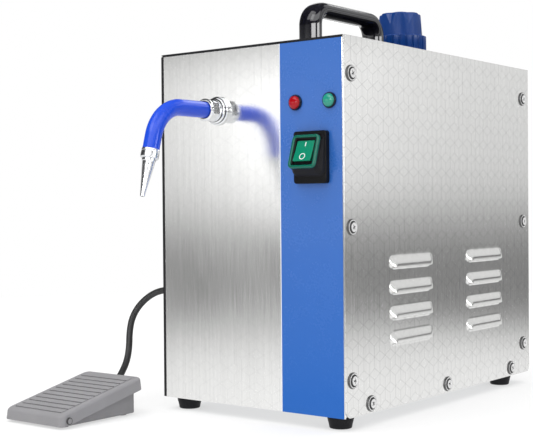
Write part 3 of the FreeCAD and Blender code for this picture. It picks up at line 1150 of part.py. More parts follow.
def pedal_base():
    wall, gap = s.pedal_wall, s.pedal_skirt_gap
    front, back = wall + gap, s.pedal_long - s.pedal_overhang
    wide = s.pedal_wide - 2 * (wall + gap)
    outline = [(front, s.pedal_pad), (front, s.pedal_base_front),
               (s.pedal_pivot_y + s.base_ramp, s.pedal_base_front), (back, s.pedal_base_back),
               (back, s.pedal_pad)]
    tray = plate("pedal_tray", "YZ_Plane", outline, wide, midplane=True)
    place(tray, pedal(0.0, 0.0, 0.0))
    room_front = s.pedal_pivot_y + s.pivot_block
    room = box("pedal_room", pedal(wall - wide / 2, room_front, s.pedal_pad + wall),
               (wide - 2 * wall, back - wall - room_front, s.pedal_back_height))
    pin = rod("pedal_pin_hole", pedal(-1 * s.pedal_wide, s.pedal_pivot_y, s.pedal_pivot_height),
              (1, 0, 0), s.pedal_pin_radius, 2 * s.pedal_wide)
    mouth = rod("pedal_mouth", pedal(s.relief_side, back - 2 * wall, s.relief_height), (0, 1, 0),
                s.relief_radius - s.relief_groove + s.seat_gap, 4 * wall)
    piece("pedal_base", cut("pedal_base", tray, [room, pin, mouth]))
    inset = s.pedal_margin + wall
    pads = []
    for index, (side, y) in enumerate(((-1, front + inset), (1, front + inset),
                                       (-1, back - inset), (1, back - inset))):
        pads.append(rod("pedal_pad_" + str(index), pedal(side * (wide / 2 - inset), y, 0.0),
                        (0, 0, 1), s.pad_radius, s.pedal_pad))
    piece("pedal_pads", compound("pedal_pads", pads))
    reach = s.pedal_wide / 2
    pin_at = pedal(-1 * reach, s.pedal_pivot_y, s.pedal_pivot_height)
    shaft = rod("axle_shaft", pin_at, (1, 0, 0), s.pedal_pin_radius, s.pedal_wide)
    heads = [rod("axle_head_" + str(index),
                 pedal(side * reach, s.pedal_pivot_y, s.pedal_pivot_height), (side, 0, 0),
                 s.pedal_pin_head, s.pedal_pin_head_gauge) for index, side in enumerate((-1, 1))]
    piece("pedal_axle", fuse("pedal_axle", [shaft] + heads))


def pedal_works():
    """Return spring, microswitch and its plunger under the treadle."""
    floor, wire = s.pedal_pad + s.pedal_wall, s.pedal_wire_radius
    foot = floor + wire + s.spring_gap
    ceiling = pedal_top(s.pedal_spring_y - s.pedal_spring_radius) - s.pedal_roof
    coil = coil_spring(s.pedal_spring_radius, wire, ceiling - wire - s.pedal_spring_gap - foot,
                       s.pedal_coils)
    at = pedal(0.0, s.pedal_spring_y, foot)
    piece("pedal_spring", place(feature("pedal_spring", coil), at))
    y, radius = s.pedal_switch_y, s.micro_plunger_radius
    body = box("micro_body", pedal(-1 * s.micro_long / 2, y - s.micro_wide / 2, floor),
               (s.micro_long, s.micro_wide, s.micro_tall))
    hole = rod("micro_hole", pedal(0.0, y, floor + s.micro_floor), (0, 0, 1),
               radius + s.swivel_clearance, s.micro_tall)
    piece("pedal_microswitch", cut("pedal_microswitch", body, [hole]))
    start = floor + s.micro_tall - s.micro_sink
    top = pedal_top(y - radius) - s.pedal_roof - s.micro_gap
    piece("pedal_switch_plunger", rod("pedal_switch_plunger", pedal(0.0, y, start), (0, 0, 1),
                                      radius, top - start))


# ---------------------------------------------------------------- pedal cord
def cord_gland():
    x, y, z = -1 * HALF, s.gland_y, s.gland_height
    nut = hexagon("gland_hex", casing(x, y, z), (-1, 0, 0), s.gland_hex_radius, s.gland_flange)
    dome = taper("gland_dome", casing(x - s.gland_flange, y, z), (-1, 0, 0), s.gland_radius,
                 s.gland_mouth_radius, s.gland_proud - s.gland_flange)
    tail = rod("gland_tail", casing(x, y, z), (1, 0, 0), s.gland_thread_radius, s.gland_tail)
    bore = rod("gland_bore", casing(x - s.gland_proud, y, z), (1, 0, 0), s.cord_radius,
               s.gland_proud + s.gland_tail)
    gland = cut("cord_gland", fuse("gland_form", [nut, dome, tail]), [bore])
    piece("cord_gland", gland)
    inner = casing(x + s.sheet_gauge, y, z)
    lock = hexagon("gland_lock_hex", inner, (1, 0, 0), s.gland_nut_radius, s.gland_nut_gauge)
    hole = rod("gland_lock_hole", inner, (1, 0, 0), s.gland_thread_radius, s.gland_nut_gauge)
    return cut("gland_locknut", lock, [hole])


def strain_relief():
    wall, radius = s.pedal_wall, s.relief_radius
    groove = radius - s.relief_groove
    back, mouth = s.pedal_long - s.pedal_overhang, s.relief_proud
    profile = [(s.cord_radius, -2 * wall), (radius, -2 * wall), (radius, -1 * wall),
               (groove, -1 * wall), (groove, 0.0), (radius, 0.0), (radius, s.relief_collar),
               (s.cord_radius + s.relief_lip, mouth), (s.cord_radius, mouth)]
    relief = turning("strain_relief", profile, pedal(s.relief_side, back, s.relief_height), (0, 1, 0))
    piece("strain_relief", relief)


def pedal_cord():
    points = [vector(casing(*point)) for point in CORD_ROUTE]
    edges, start = [], points[0]
    length = 0.0
    for index in range(1, len(points) - 1):
        before, here, after = points[index - 1:index + 2]
        incoming, outgoing = here - before, after - here
        shorter = min(incoming.Length, outgoing.Length)
        turn = incoming.getAngle(outgoing)
        radius = 0.45 * shorter / math.tan(turn / 2)
        print("cord bend", index, "turn", round(math.degrees(turn), 1), "radius", round(radius, 1))
        incoming.normalize()
        outgoing.normalize()
        enter, leave = here - incoming * (0.45 * shorter), here + outgoing * (0.45 * shorter)
        inward = (outgoing - incoming).normalize()
        middle = here + inward * (radius / math.cos(turn / 2) - radius)
        edges += [Part.LineSegment(start, enter), Part.Arc(enter, middle, leave)]
        length += (enter - start).Length + radius * turn
        start = leave
    edges.append(Part.LineSegment(start, points[-1]))
    length += (points[-1] - start).Length
    wire = Part.Wire([edge.toShape() for edge in edges])
    cord = swept("pedal_cord", wire, points[0], points[1] - points[0], float(s.cord_radius))
    section = math.pi * float(s.cord_radius) ** 2
    print("cord length", round(length, 1), "volume / (section x length)",
          round(cord.Shape.Volume / (section * length), 4))
    piece("pedal_cord", cord)


# ---------------------------------------------------------------- build, check and write
def build():
    base_pan()
    front_panel()
    blue_stripe()
    rear_panel()
    top_panel()
    side_panel(1)
    side_panel(-1, (s.gland_y, s.gland_height, float(s.gland_thread_radius + s.screw_clearance)))
    side_fixings()
    piece("chassis_screws", compound("chassis_screws", feet() + carry_handle()))
    boiler_tank()
    boiler_stand()
    insulation_jacket()
    heater()
    filler_neck()
    pressure_switch()
    safety_valve()
    steam_pipe()
    solenoid()
    piece("panel_nuts", compound("panel_nuts", [nozzle_union(), cord_gland()]))
    nozzle_arm()
    filler_cap()
    bezels = [lamp("red", RED_LAMP_X), lamp("green", GREEN_LAMP_X)]
    piece("lamp_bezels", compound("lamp_bezels", bezels))
    power_switch()
    power_inlet()
    drain_valve()
    electrics()
    pedal_plate()
    pedal_base()
    pedal_works()
    strain_relief()
    pedal_cord()
    DOC.recompute()


def check_and_write():
    for obj in DOC.Objects:
        if "Invalid" in obj.State or "Error" in obj.State:
            raise RuntimeError(obj.Name + " could not be built: " + obj.getStatusString())
    for label, obj in PIECES.items():
        shape = obj.Shape
        if shape.isNull() or not shape.isValid():
            raise RuntimeError(label + " has no valid shape")
    os.makedirs("parts", exist_ok=True)
    for label, obj in PIECES.items():
        obj.Shape.exportStep("parts/" + label + ".step")
    print(len(PIECES), "sub-parts written")


build()
check_and_write()
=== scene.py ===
"""Looks of a bench-top jewelry steam cleaner with its foot pedal; its shapes are in millimetres."""

import json
from math import atan, atan2, copysign, cos, pi, radians, sin, sqrt, tan
from types import SimpleNamespace

import bmesh
import bpy
from bpy.props import FloatProperty, FloatVectorProperty, IntProperty, PointerProperty
from mathutils import Matrix, Vector

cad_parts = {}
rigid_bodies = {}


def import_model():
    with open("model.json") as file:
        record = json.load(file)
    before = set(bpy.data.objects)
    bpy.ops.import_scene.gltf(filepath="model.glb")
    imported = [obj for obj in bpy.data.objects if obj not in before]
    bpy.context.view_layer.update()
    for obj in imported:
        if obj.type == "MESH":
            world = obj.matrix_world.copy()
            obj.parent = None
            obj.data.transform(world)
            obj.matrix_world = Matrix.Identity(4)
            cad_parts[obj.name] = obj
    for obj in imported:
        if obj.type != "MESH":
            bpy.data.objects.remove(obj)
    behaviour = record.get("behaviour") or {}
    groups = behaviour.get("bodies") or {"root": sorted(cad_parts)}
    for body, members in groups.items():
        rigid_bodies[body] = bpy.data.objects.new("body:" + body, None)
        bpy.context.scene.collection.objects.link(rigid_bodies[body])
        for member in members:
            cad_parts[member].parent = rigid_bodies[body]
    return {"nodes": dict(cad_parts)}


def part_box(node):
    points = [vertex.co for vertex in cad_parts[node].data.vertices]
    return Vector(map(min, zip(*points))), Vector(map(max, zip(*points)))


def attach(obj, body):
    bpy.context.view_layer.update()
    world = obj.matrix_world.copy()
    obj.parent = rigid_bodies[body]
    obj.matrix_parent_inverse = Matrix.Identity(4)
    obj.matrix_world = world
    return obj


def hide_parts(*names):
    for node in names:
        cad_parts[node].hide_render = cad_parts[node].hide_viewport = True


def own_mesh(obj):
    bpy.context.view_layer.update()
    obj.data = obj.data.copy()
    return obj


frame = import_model()

bl_info = {
    "name": "Jewelry steam cleaner",
    "version": (1, 0, 0),
    "blender": (4, 5, 0),
    "location": "View3D > Sidebar > Steam cleaner",
    "description": "Builds the finished pieces of a bench-top steam cleaner and its foot pedal",
    "category": "Add Mesh",
}

MM = 0.001
X, Y, Z = Vector((1, 0, 0)), Vector((0, 1, 0)), Vector((0, 0, 1))
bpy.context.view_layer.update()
NODES = frame["nodes"]


def box(node):
    """Low and high corner of a node in millimetres."""
    return [Vector(corner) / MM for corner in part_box(node)]


def middle(node, **moved):
    """Middle of a node's box, with some of its coordinates set to other values."""
    place = sum(box(node), Vector()) / 2
    for axis, value in moved.items():
        setattr(place, axis, value)
    return place


SKIN_LOW, SKIN_HIGH = box("front_panel")
TOP_LOW, TOP_HIGH = box("top_panel")
MID_X, HALF_WIDE = (SKIN_LOW.x + SKIN_HIGH.x) / 2, (SKIN_HIGH.x - SKIN_LOW.x) / 2


# ---------------- sizes and colours
def size(text, default):
    """A length property; the default is in millimetres."""
    return FloatProperty(name=text, description=text, default=default * MM, min=0.0,
                         unit="LENGTH", precision=5)


def number(text, default):
    return IntProperty(name=text, description=text, default=default)


def bearing(text, degrees):
    return FloatProperty(name=text, description=text, default=radians(degrees), subtype="ANGLE")


def colour(text, *default):
    return FloatVectorProperty(name=text, description=text, default=default, size=3,
                               min=0.0, max=1.0, subtype="COLOR")


class CasingSizes(bpy.types.PropertyGroup):
    sheet: size("Gauge of the stainless sheets", 1.2)
    fold: size("Outside radius of the folded edges", 1.6)
    corner: size("Radius of the side sheets' lower corners", 7.5)
    louver_long: size("Length of one louver", 82.0)
    louver_tall: size("Height of one louver", 12.0)
    louver_proud: size("How far a louver stands out", 4.6)
    louver_pitch: size("Distance between louver rows", 24.5)
    louver_top: size("Height of the uppermost louver's top edge", 146.0)
    louver_front: size("Front end of the front column", 75.0)
    louver_step: size("Distance between the two columns", 153.0)
    louver_rows: number("Louvers in a column", 4)


class FixingSizes(bpy.types.PropertyGroup):
    washer: size("Radius of the cup washers", 7.75)
    washer_rise: size("Height of the cup washers", 1.5)
    head: size("Radius of the pan heads", 5.2)
    head_rise: size("Height of a head over its washer", 1.3)
    recess_wide: size("Width of the cross recess's arms", 1.3)
    recess_long: size("Length across the cross recess", 6.2)
    recess_deep: size("Depth of the cross recess", 1.1)
    turn_seed: number("Seed of the screws' turns", 7)


class CapSizes(bpy.types.PropertyGroup):
    ring: size("Radius of the ribbed skirt", 30.0)
    ring_low: size("Height of the skirt's lower edge over the top plate", 3.0)
    ring_top: size("Height of the skirt's upper edge", 38.0)
    knob_low: size("Radius of the knob at the skirt", 25.5)
    knob_high: size("Radius of the knob at its top", 23.5)
    top: size("Height of the cap's top", 64.3)
    groove: size("Depth of the grooves between the ribs", 1.3)
    notch: size("Depth of the finger notches at the knob's top", 3.0)
    notch_wide: size("Half width of a finger notch at the knob's top", 7.6)
    notch_tall: size("Height of the finger notches", 13.5)
    ribs: number("Ribs round the skirt", 24)
    notches: number("Finger notches round the knob", 7)
    notch_turn: bearing("Turn of the first finger notch", -59)


class NozzleSizes(bpy.types.PropertyGroup):
    hose: size("Radius of the blue sleeve", 8.0)
    straight: size("Distance from the wall to the bend", 56.0)
    bend: size("Radius of the bend's centre line", 38.0)
    tail: size("Straight length after the bend", 14.0)
    collar: size("Radius of the chrome collar", 8.6)
    collar_long: size("Length of the chrome collar", 8.5)
    tip_long: size("Length of the tapered tip", 36.0)
    tip_base: size("Radius of the tip at the collar", 6.6)
    tip_end: size("Radius of the tip at its mouth", 2.2)
    turn: bearing("Angle of the bend", 74.5)


class SwitchSizes(bpy.types.PropertyGroup):
    base_wide: size("Width of the black base plate", 37.0)
    base_tall: size("Height of the black base plate", 48.5)
    base_gauge: size("Thickness of the base plate", 5.6)
    bezel_wide: size("Width of the green bezel", 30.7)
    bezel_tall: size("Height of the green bezel", 32.5)
    bezel_gauge: size("Thickness of the green bezel", 2.4)
    open_wide: size("Width of the bezel's opening", 24.0)
    open_tall: size("Height of the bezel's opening", 26.4)
    rocker_wide: size("Width of the rocker", 19.6)
    rocker_tall: size("Height of the rocker", 21.8)
    lens: size("Radius of the lamp lenses", 6.2)
    lamp: size("Radius of the lamp bezels", 7.4)
    tilt: bearing("Lean of the bezel", 18)
    swing: bearing("Lean of the rocker in the bezel", 7)


class PedalSizes(bpy.types.PropertyGroup):
    wide: size("Width of the treadle", 82.0)
    long: size("Length of the treadle", 110.0)
    front: size("Height of the treadle's front edge", 12.5)
    back: size("Height of the treadle's back edge", 37.0)
    skirt: size("Depth of the side skirts at the back", 12.5)
    hem: size("Clearance under the front skirt", 2.1)
    wall: size("Thickness of the moulding", 2.5)
    round: size("Radius of the treadle's upper edges", 3.2)
    corner: size("Radius of its corners in plan", 6.0)
    margin: size("Plain border round the ribs", 8.0)
    rib_rise: size("Height of the tread ribs", 0.9)
    rib_gap: size("Gap between two ribs", 1.5)
    ribs: number("Ribs on the treadle", 11)


class CordSizes(bpy.types.PropertyGroup):
    diameter: size("Diameter of the pedal cord", 7.0)
    length: size("Length of the pedal cord", 176.0)


class FinishColours(bpy.types.PropertyGroup):
    stainless: colour("Brushed sheet", 0.84, 0.84, 0.83)
    stripe: colour("Blue paint", 0.030, 0.140, 0.500)
    cap: colour("Blue cap plastic", 0.005, 0.047, 0.235)
    hose: colour("Blue silicone sleeve", 0.005, 0.066, 0.660)
    treadle: colour("Grey treadle plastic", 0.262, 0.258, 0.268)
    # the treadle's grey darkened by a fifth: painted shade under the treadle
    tray: colour("Dark grey pedal plastic", 0.2096, 0.2064, 0.2144)
    rocker: colour("Lit green rocker", 0.0, 0.225, 0.125)
    bezel: colour("Green switch bezel", 0.0, 0.120, 0.075)
    red: colour("Red lamp lens", 0.400, 0.001, 0.006)
    green: colour("Green lamp lens", 0.015, 0.300, 0.210)
    grip: colour("Red lever grip", 0.520, 0.020, 0.015)


GROUPS = {"casing": CasingSizes, "fixing": FixingSizes, "cap": CapSizes, "nozzle": NozzleSizes,
          "switch": SwitchSizes, "pedal": PedalSizes, "cord": CordSizes, "finish": FinishColours}


class SteamCleanerSettings(bpy.types.PropertyGroup):
    __annotations__ = {name: PointerProperty(type=group) for name, group in GROUPS.items()}


def values(name):
    """A group's values, with its lengths in millimetres."""
    group = getattr(bpy.context.scene.steam_cleaner, name)
    found = {key: getattr(group, key) for key in group.__annotations__}
    return SimpleNamespace(**{key: value / MM if group.bl_rna.properties[key].unit == "LENGTH"
                              else value for key, value in found.items()})


# ---------------- node trees
class Value:
    """A node's output; arithmetic with it adds Math nodes to its tree."""

    def __init__(self, made, socket):
        self.made, self.socket = made, socket


def arithmetic(operation, swapped=False):
    """A method of Value that adds a Math node."""
    def method(self, other):
        return self.made.math(operation, *((other, self) if swapped else (self, other)))
    return method


for sign, operation in (("add", "ADD"), ("sub", "SUBTRACT"), ("mul", "MULTIPLY"),
                        ("truediv", "DIVIDE"), ("mod", "FLOORED_MODULO")):
    setattr(Value, f"__{sign}__", arithmetic(operation))
    setattr(Value, f"__r{sign}__", arithmetic(operation, swapped=True))


class Tree:
    """A node tree and short calls that add nodes to it; values and numbers both go in."""

    def __init__(self, tree):
        self.tree = tree

    def feed(self, socket, value):
        if isinstance(value, Value):
            self.tree.links.new(value.socket, socket)
        else:
            socket.default_value = (*value, 1.0) if socket.type == "RGBA" else value

    def add(self, kind, inputs=(), **settings):
        node = self.tree.nodes.new(kind)
        for name, value in settings.items():
            setattr(node, name, value)
        for key, value in dict(inputs).items():
            self.feed(node.inputs[key], value)
        return node

    def out(self, kind, inputs=(), output=0, **settings):
        return Value(self, self.add(kind, inputs, **settings).outputs[output])

    def math(self, operation, *numbers):
        return self.out("ShaderNodeMath", enumerate(numbers), operation=operation)

    def ramp(self, value, low, high, to_low=0.0, to_high=1.0):
        """A value's share of a range, clamped, as a number between two others."""
        return self.out("ShaderNodeMapRange", {0: value, 1: low, 2: high, 3: to_low, 4: to_high})

    def combine(self, *parts):
        return self.out("ShaderNodeCombineXYZ", enumerate(parts))

    def separate(self, vector):
        return [Value(self, part) for part in
                self.add("ShaderNodeSeparateXYZ", {0: vector}).outputs]


class Form(Tree):
    """A geometry tree with named inputs and a material, which become values of those names."""

    def __init__(self, name, **kinds):
        super().__init__(bpy.data.node_groups.new(name, "GeometryNodeTree"))
        self.tree.is_modifier = True
        new = self.tree.interface.new_socket
        for way in ("OUTPUT", "INPUT"):
            new(name="Geometry", in_out=way, socket_type="NodeSocketGeometry")
        kinds["Material"], self.ids = "Material", {}
        for key, kind in kinds.items():
            self.ids[key] = new(name=key.replace("_", " "), in_out="INPUT",
                                socket_type="NodeSocket" + kind).identifier
        outputs = self.add("NodeGroupInput").outputs
        for key in ("Geometry", *kinds):
            setattr(self, key, Value(self, outputs[key.replace("_", " ")]))

    def copies(self, points, item, **more):
        """Instances on points of an object input, or of other instances."""
        if item.socket.type == "OBJECT":
            item = self.out("GeometryNodeObjectInfo", {"Object": item}, "Geometry")
        return self.out("GeometryNodeInstanceOnPoints",
                        {"Points": points, "Instance": item, **more})

    def end(self, geometry):
        """Realize Instances and Set Material, then the group's output."""
        real = self.out("GeometryNodeRealizeInstances", {0: geometry})
        self.add("NodeGroupOutput", {0: self.out("GeometryNodeSetMaterial", {
            "Geometry": real, "Material": self.Material})})

    def grow(self, name, base, **inputs):
        """The plain mesh that the tree makes of a base mesh with these input values."""
        carrier = placed(name, base)
        modifier = carrier.modifiers.new("Form", "NODES")
        modifier.node_group = self.tree
        for key, value in inputs.items():
            modifier[self.ids[key]] = value
        return evaluated(name, carrier)


# ---------------- outlines and forms
def rounded(corners, steps=4, closed=True):
    """Points of an outline whose corners (u, v, radius) are turned into arcs."""
    points, count = [], len(corners)
    for index, (u, v, radius) in enumerate(corners):
        here = Vector((u, v))
        if radius <= 0 or (not closed and index in (0, count - 1)):
            points.append(here)
            continue
        before = Vector(corners[index - 1][:2]) - here
        after = Vector(corners[(index + 1) % count][:2]) - here
        half = before.angle(after) / 2
        trim = min(radius / tan(half), 0.49 * min(before.length, after.length))
        radius = trim * tan(half)
        before.normalize()
        after.normalize()
        centre = here + (before + after).normalized() * (radius / sin(half))
        first, last = here + before * trim - centre, here + after * trim - centre
        start = atan2(first.y, first.x)
        sweep = (atan2(last.y, last.x) - start + pi) % (2 * pi) - pi
        for step in range(steps + 1):
            turn = start + sweep * step / steps
            points.append(centre + Vector((cos(turn), sin(turn))) * radius)
    return points


def rectangle(wide, tall, radius, steps=6):
    u, v = wide / 2, tall / 2
    return rounded([(-u, -v, radius), (u, -v, radius), (u, v, radius), (-u, v, radius)], steps)


def circle(radius, count):
    return [Vector((cos(2 * pi * step / count), sin(2 * pi * step / count))) * radius
            for step in range(count)]


def dense(points, longest, closed=True):
    """An outline with more points, so that no gap is much longer than asked."""
    found = []
    for first, last in zip(points, points[1:] + points[:1] if closed else points[1:]):
        parts = max(1, int((last - first).length / longest))
        found += [first.lerp(last, step / parts) for step in range(parts)]
    return found if closed else found + [points[-1]]


def ring(place, direction, radius, count, turn=0.0, groove=0.0):
    """Points round a direction, every other one of them drawn in by the groove."""
    across = (Z if abs(direction.z) < 0.9 else X).cross(direction).normalized()
    up = direction.cross(across)
    return [place + (across * cos(angle) + up * sin(angle)) * (radius - groove * (step % 2))
            for step, angle in ((step, 2 * pi * step / count + turn) for step in range(count))]


def stacked(place, rows, steps):
    """Rounded rectangles (width, height, corner radius, lift), set by place(u, v, lift)."""
    return [[place(p.x, p.y, lift) for p in rectangle(wide, tall, radius, steps)]
            for wide, tall, radius, lift in rows]


def bridge(loops, bm=None, hoop=False):
    """Quads between successive loops, with end faces or, in a hoop, from last to first."""
    bm = bmesh.new() if bm is None else bm
    rows = [[bm.verts.new(point) for point in loop] for loop in loops]
    for low, high in zip(rows, rows[1:] + rows[:1] if hoop else rows[1:]):
        for index in range(len(low)):
            after = (index + 1) % len(low)
            bm.faces.new((low[index], low[after], high[after], high[index]))
    for row in () if hoop else (rows[0], rows[-1]):
        bm.faces.new(row)
    return bm


def turned(points, place, direction, segments=64, closed=True, bm=None):
    """A body of revolution from (radius, distance) points; points on the axis become poles."""
    bm = bmesh.new() if bm is None else bm
    rows = []
    for radius, distance in points:
        spot = place + direction * distance
        loop = [spot] if radius < 1e-4 else ring(spot, direction, radius, segments)
        rows.append([bm.verts.new(point) for point in loop])
    pairs = list(zip(rows, rows[1:])) + ([(rows[-1], rows[0])] if closed else [])
    for low, high in pairs:
        for index in range(segments if len(low) + len(high) > 2 else 0):
            after = (index + 1) % segments
            face = (low[index % len(low)], low[after % len(low)],
                    high[after % len(high)], high[index % len(high)])
            bm.faces.new(list(dict.fromkeys(face)))
    return bm


def spin(corners, place, direction, segments=64, steps=5, closed=True, bm=None):
    """A body of revolution from (radius, distance, rounding) corners."""
    return turned(rounded(corners, steps, closed), place, direction, segments, closed, bm)


def swept(path, section):
    """A section (u, v points) carried along (place, across, ahead, scale) stations."""
    return bridge([[place + (across * p.x + across.cross(ahead) * p.y) * scale for p in section]
                   for place, across, ahead, scale in path])


def block(low, high, radius=0.0, segments=3):
    """A box with rounded edges."""
    low, high, bm = Vector(low), Vector(high), bmesh.new()
    bmesh.ops.create_cube(bm, size=1.0, matrix=Matrix.LocRotScale(
        (low + high) / 2, None, high - low))
    if radius:
        bmesh.ops.bevel(bm, geom=bm.edges[:], offset=radius, segments=segments, profile=0.5,
                        affect="EDGES", clamp_overlap=True)
    return bm


def drill(place, direction, radius):
    """A cutter for a round hole through a sheet."""
    reach = 5
    return turned([(0, -reach), (radius, -reach), (radius, reach), (0, reach)], place,
                  direction, 64, closed=False)


# ---------------- meshes and pieces
def plain(name, bm):
    """The mesh of a bmesh as it is."""
    mesh = bpy.data.meshes.new(name)
    bm.to_mesh(mesh)
    bm.free()
    return mesh


def solid(name, bm):
    """The mesh of a closed form, its faces turned outwards."""
    bmesh.ops.remove_doubles(bm, verts=bm.verts, dist=1e-3)
    bmesh.ops.recalc_face_normals(bm, faces=bm.faces)
    return plain(name, bm)


def placed(name, data):
    """A new object in the scene."""
    made = bpy.data.objects.new(name, data)
    bpy.context.scene.collection.objects.link(made)
    return made


def evaluated(name, carrier):
    """The plain mesh that a carrier's modifiers give; the carrier goes."""
    depsgraph = bpy.context.evaluated_depsgraph_get()
    mesh = bpy.data.meshes.new_from_object(carrier.evaluated_get(depsgraph),
                                           depsgraph=depsgraph)
    carrier.modifiers.clear()
    bpy.data.objects.remove(carrier)
    mesh.name = name
    return mesh


def opened(name, bm, *cutters):
    """The mesh of a closed form with openings cut by other closed forms."""
    mesh = solid(name, bm)
    for form in cutters:
        cutter, carrier = placed("cutter", solid("cutter", form)), placed("carrier", mesh)
        cut = carrier.modifiers.new("Cut", "BOOLEAN")
        cut.operation, cut.solver, cut.object = "DIFFERENCE", "EXACT", cutter
        mesh = evaluated(name, carrier)
        bpy.data.objects.remove(cutter)
    return mesh


def paint_shade(mesh, rule):
    """Store painted shade for each point: rule(place) gives 0 where a groove, recess or rim gets
    full painted shade and 1 where it gets none.
    """
    layer = mesh.attributes.new("clean", "FLOAT", "POINT")
    layer.data.foreach_set("value", [rule(vert.co) for vert in mesh.vertices])
    return mesh


def even_normals(piece):
    """Keep broad flat faces flat beside small rounded edges."""
    normals = piece.modifiers.new("Normals", "WEIGHTED_NORMAL")
    normals.mode, normals.keep_sharp = "FACE_AREA", True


def show(name, mesh, finish, slot, node=None, sharp=35.0, body="root", even=True):
    """Make a form in millimetres a finished piece in place of a node, riding on a body."""
    if isinstance(mesh, bmesh.types.BMesh):
        mesh = solid(name, mesh)
    mesh.transform(Matrix.Scale(MM, 4))
    mesh.name = name
    mesh.materials.clear()
    mesh.materials.append(FINISH[finish])
    mesh.shade_smooth()
    mesh.set_sharp_from_angle(angle=radians(sharp))
    piece = placed(name, mesh)
    if even:
        even_normals(piece)
    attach(piece, body)
    if node:
        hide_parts(node)
    return piece


# ---------------- finishes
class Finish(Tree):
    """A new Principled material and its tree."""

    def __init__(self, name, base, **settings):
        self.material = bpy.data.materials.new(name)
        self.material.use_nodes = True
        super().__init__(self.material.node_tree)
        self.set(Base_Color=base, **settings)

    def set(self, **settings):
        """Feed the shader's inputs, written with _ for a space."""
        shader = self.tree.nodes["Principled BSDF"]
        for key, value in settings.items():
            self.feed(shader.inputs[key.replace("_", " ")], value)

    def coords(self, scale=None):
        coords = self.out("ShaderNodeTexCoord", output="Object")
        return coords if scale is None else self.out("ShaderNodeMapping", {
            "Vector": coords, "Scale": scale})

    def noise(self, vector, scale, detail=2.0, roughness=0.5):
        return self.out("ShaderNodeTexNoise", {"Vector": vector, "Scale": scale,
                                               "Detail": detail, "Roughness": roughness}, "Fac")

    def mix(self, factor, first, second):
        return self.out("ShaderNodeMix", {0: factor, 6: first, 7: second}, 2, data_type="RGBA")

    def soiled(self, groove_shade, tint):
        """Painted shade: the dark colour where the mesh's points are marked as shaded, the tint
        elsewhere.
        """
        clean = self.out("ShaderNodeAttribute", output="Fac", attribute_name="clean")
        return self.mix(clean, groove_shade, tint)

    def bump(self, height, distance_mm, strength):
        self.set(Normal=self.out("ShaderNodeBump", {
            "Height": height, "Distance": distance_mm * MM, "Strength": strength}))


def tumbling_lines(made, across, up, half_cell, width):
    """Lines of the tumbling-block pattern: 1 on a line, 0 between, from two lengths."""
    m, upright = across / half_cell, up / (2.0 * half_cell / sqrt(3.0))
    n = upright - m * 0.5
    line_m, line_n, line_s = (made.math("ROUND", value) for value in (m, n, m + n))
    step_m = made.math("FLOOR", m)
    drawn = 0.0
    for value, line, cell, missing in (
            (m, line_m, line_m - made.math("FLOOR", upright - line_m * 0.5), 2.0),
            (n, line_n, step_m - line_n, 1.0),
            (m + n, line_s, step_m * 2.0 + 2.0 - line_s, 1.0)):
        away = made.math("ABSOLUTE", value - line) * half_cell
        there = 1.0 - made.math("COMPARE", cell % 3.0, missing, 0.3)
        ink = made.ramp(away, width * 0.35, width, 1.0, 0.0) * there
        drawn = made.math("MAXIMUM", ink, drawn)
    return drawn


def stainless(name, base, axis, ink):
    """Brushed upright, with a faint etched tumbling-block pattern."""
    made = Finish(name, base, Metallic=1.0, Anisotropic=0.45)
    x, y, z = made.separate(made.coords())
    lines = tumbling_lines(made, y if axis == "y" else x, z, 9.2 * MM, 0.32 * MM)
    if axis == "y":
        # the pattern ends where the sheet is pressed out into louvers
        proud = made.math("ABSOLUTE", x - MID_X * MM) - HALF_WIDE * MM
        lines = lines * made.ramp(proud, 1.6 * MM, 2.4 * MM, 1.0, 0.15)
    streaks = made.noise(made.coords((1500.0, 1500.0, 22.0)), 1.0, 3.0, 0.6)
    broad = made.noise(made.coords((420.0, 420.0, 7.0)), 1.0)
    cloud = made.noise(made.coords(), 9.0)
    shade = (made.ramp(streaks, 0.3, 0.7, 0.955, 1.02) * made.ramp(broad, 0.3, 0.7, 0.97, 1.015)
             * made.ramp(lines, 0.0, 1.0, 1.0, 1.0 - ink))
    rough = (made.ramp(streaks, 0.3, 0.7, 0.135, 0.185) + lines * 0.012
             + made.ramp(cloud, 0.35, 0.65, -0.01, 0.015))
    made.set(Roughness=rough,
             Base_Color=made.out("ShaderNodeVectorMath", {0: base, "Scale": shade},
                                 operation="SCALE"),
             Tangent=made.out("ShaderNodeTangent", direction_type="RADIAL", axis="Z"))
    made.bump(streaks - lines * 0.5, 0.008, 0.25)
    return made.material


def metal(name, base, roughness, spread=0.08, grain=220.0, grain_mm=0.02, metallic=1.0,
          soiled=False):
    """Plated or bare metal with handling marks in its gloss, and painted shade in the grooves that
    its mesh marks, when asked for.
    """
    made = Finish(name, base, Metallic=metallic)
    marks, smudges = made.noise(made.coords(), grain, 4.0, 0.6), made.noise(made.coords(), 28.0)
    tint = made.mix(made.ramp(smudges, 0.4, 0.8, 0.0, 0.5), base,
                    tuple(channel * 0.86 for channel in base))
    # painted shade: near black in the grooves that the mesh marks
    made.set(Base_Color=made.soiled((0.012, 0.012, 0.014), tint) if soiled else tint,
             Roughness=made.ramp(marks, 0.35, 0.7, roughness, roughness + spread)
             + made.ramp(smudges, 0.5, 0.8, 0.0, spread * 0.6))
    made.bump(marks, grain_mm, 0.5)
    return made.material


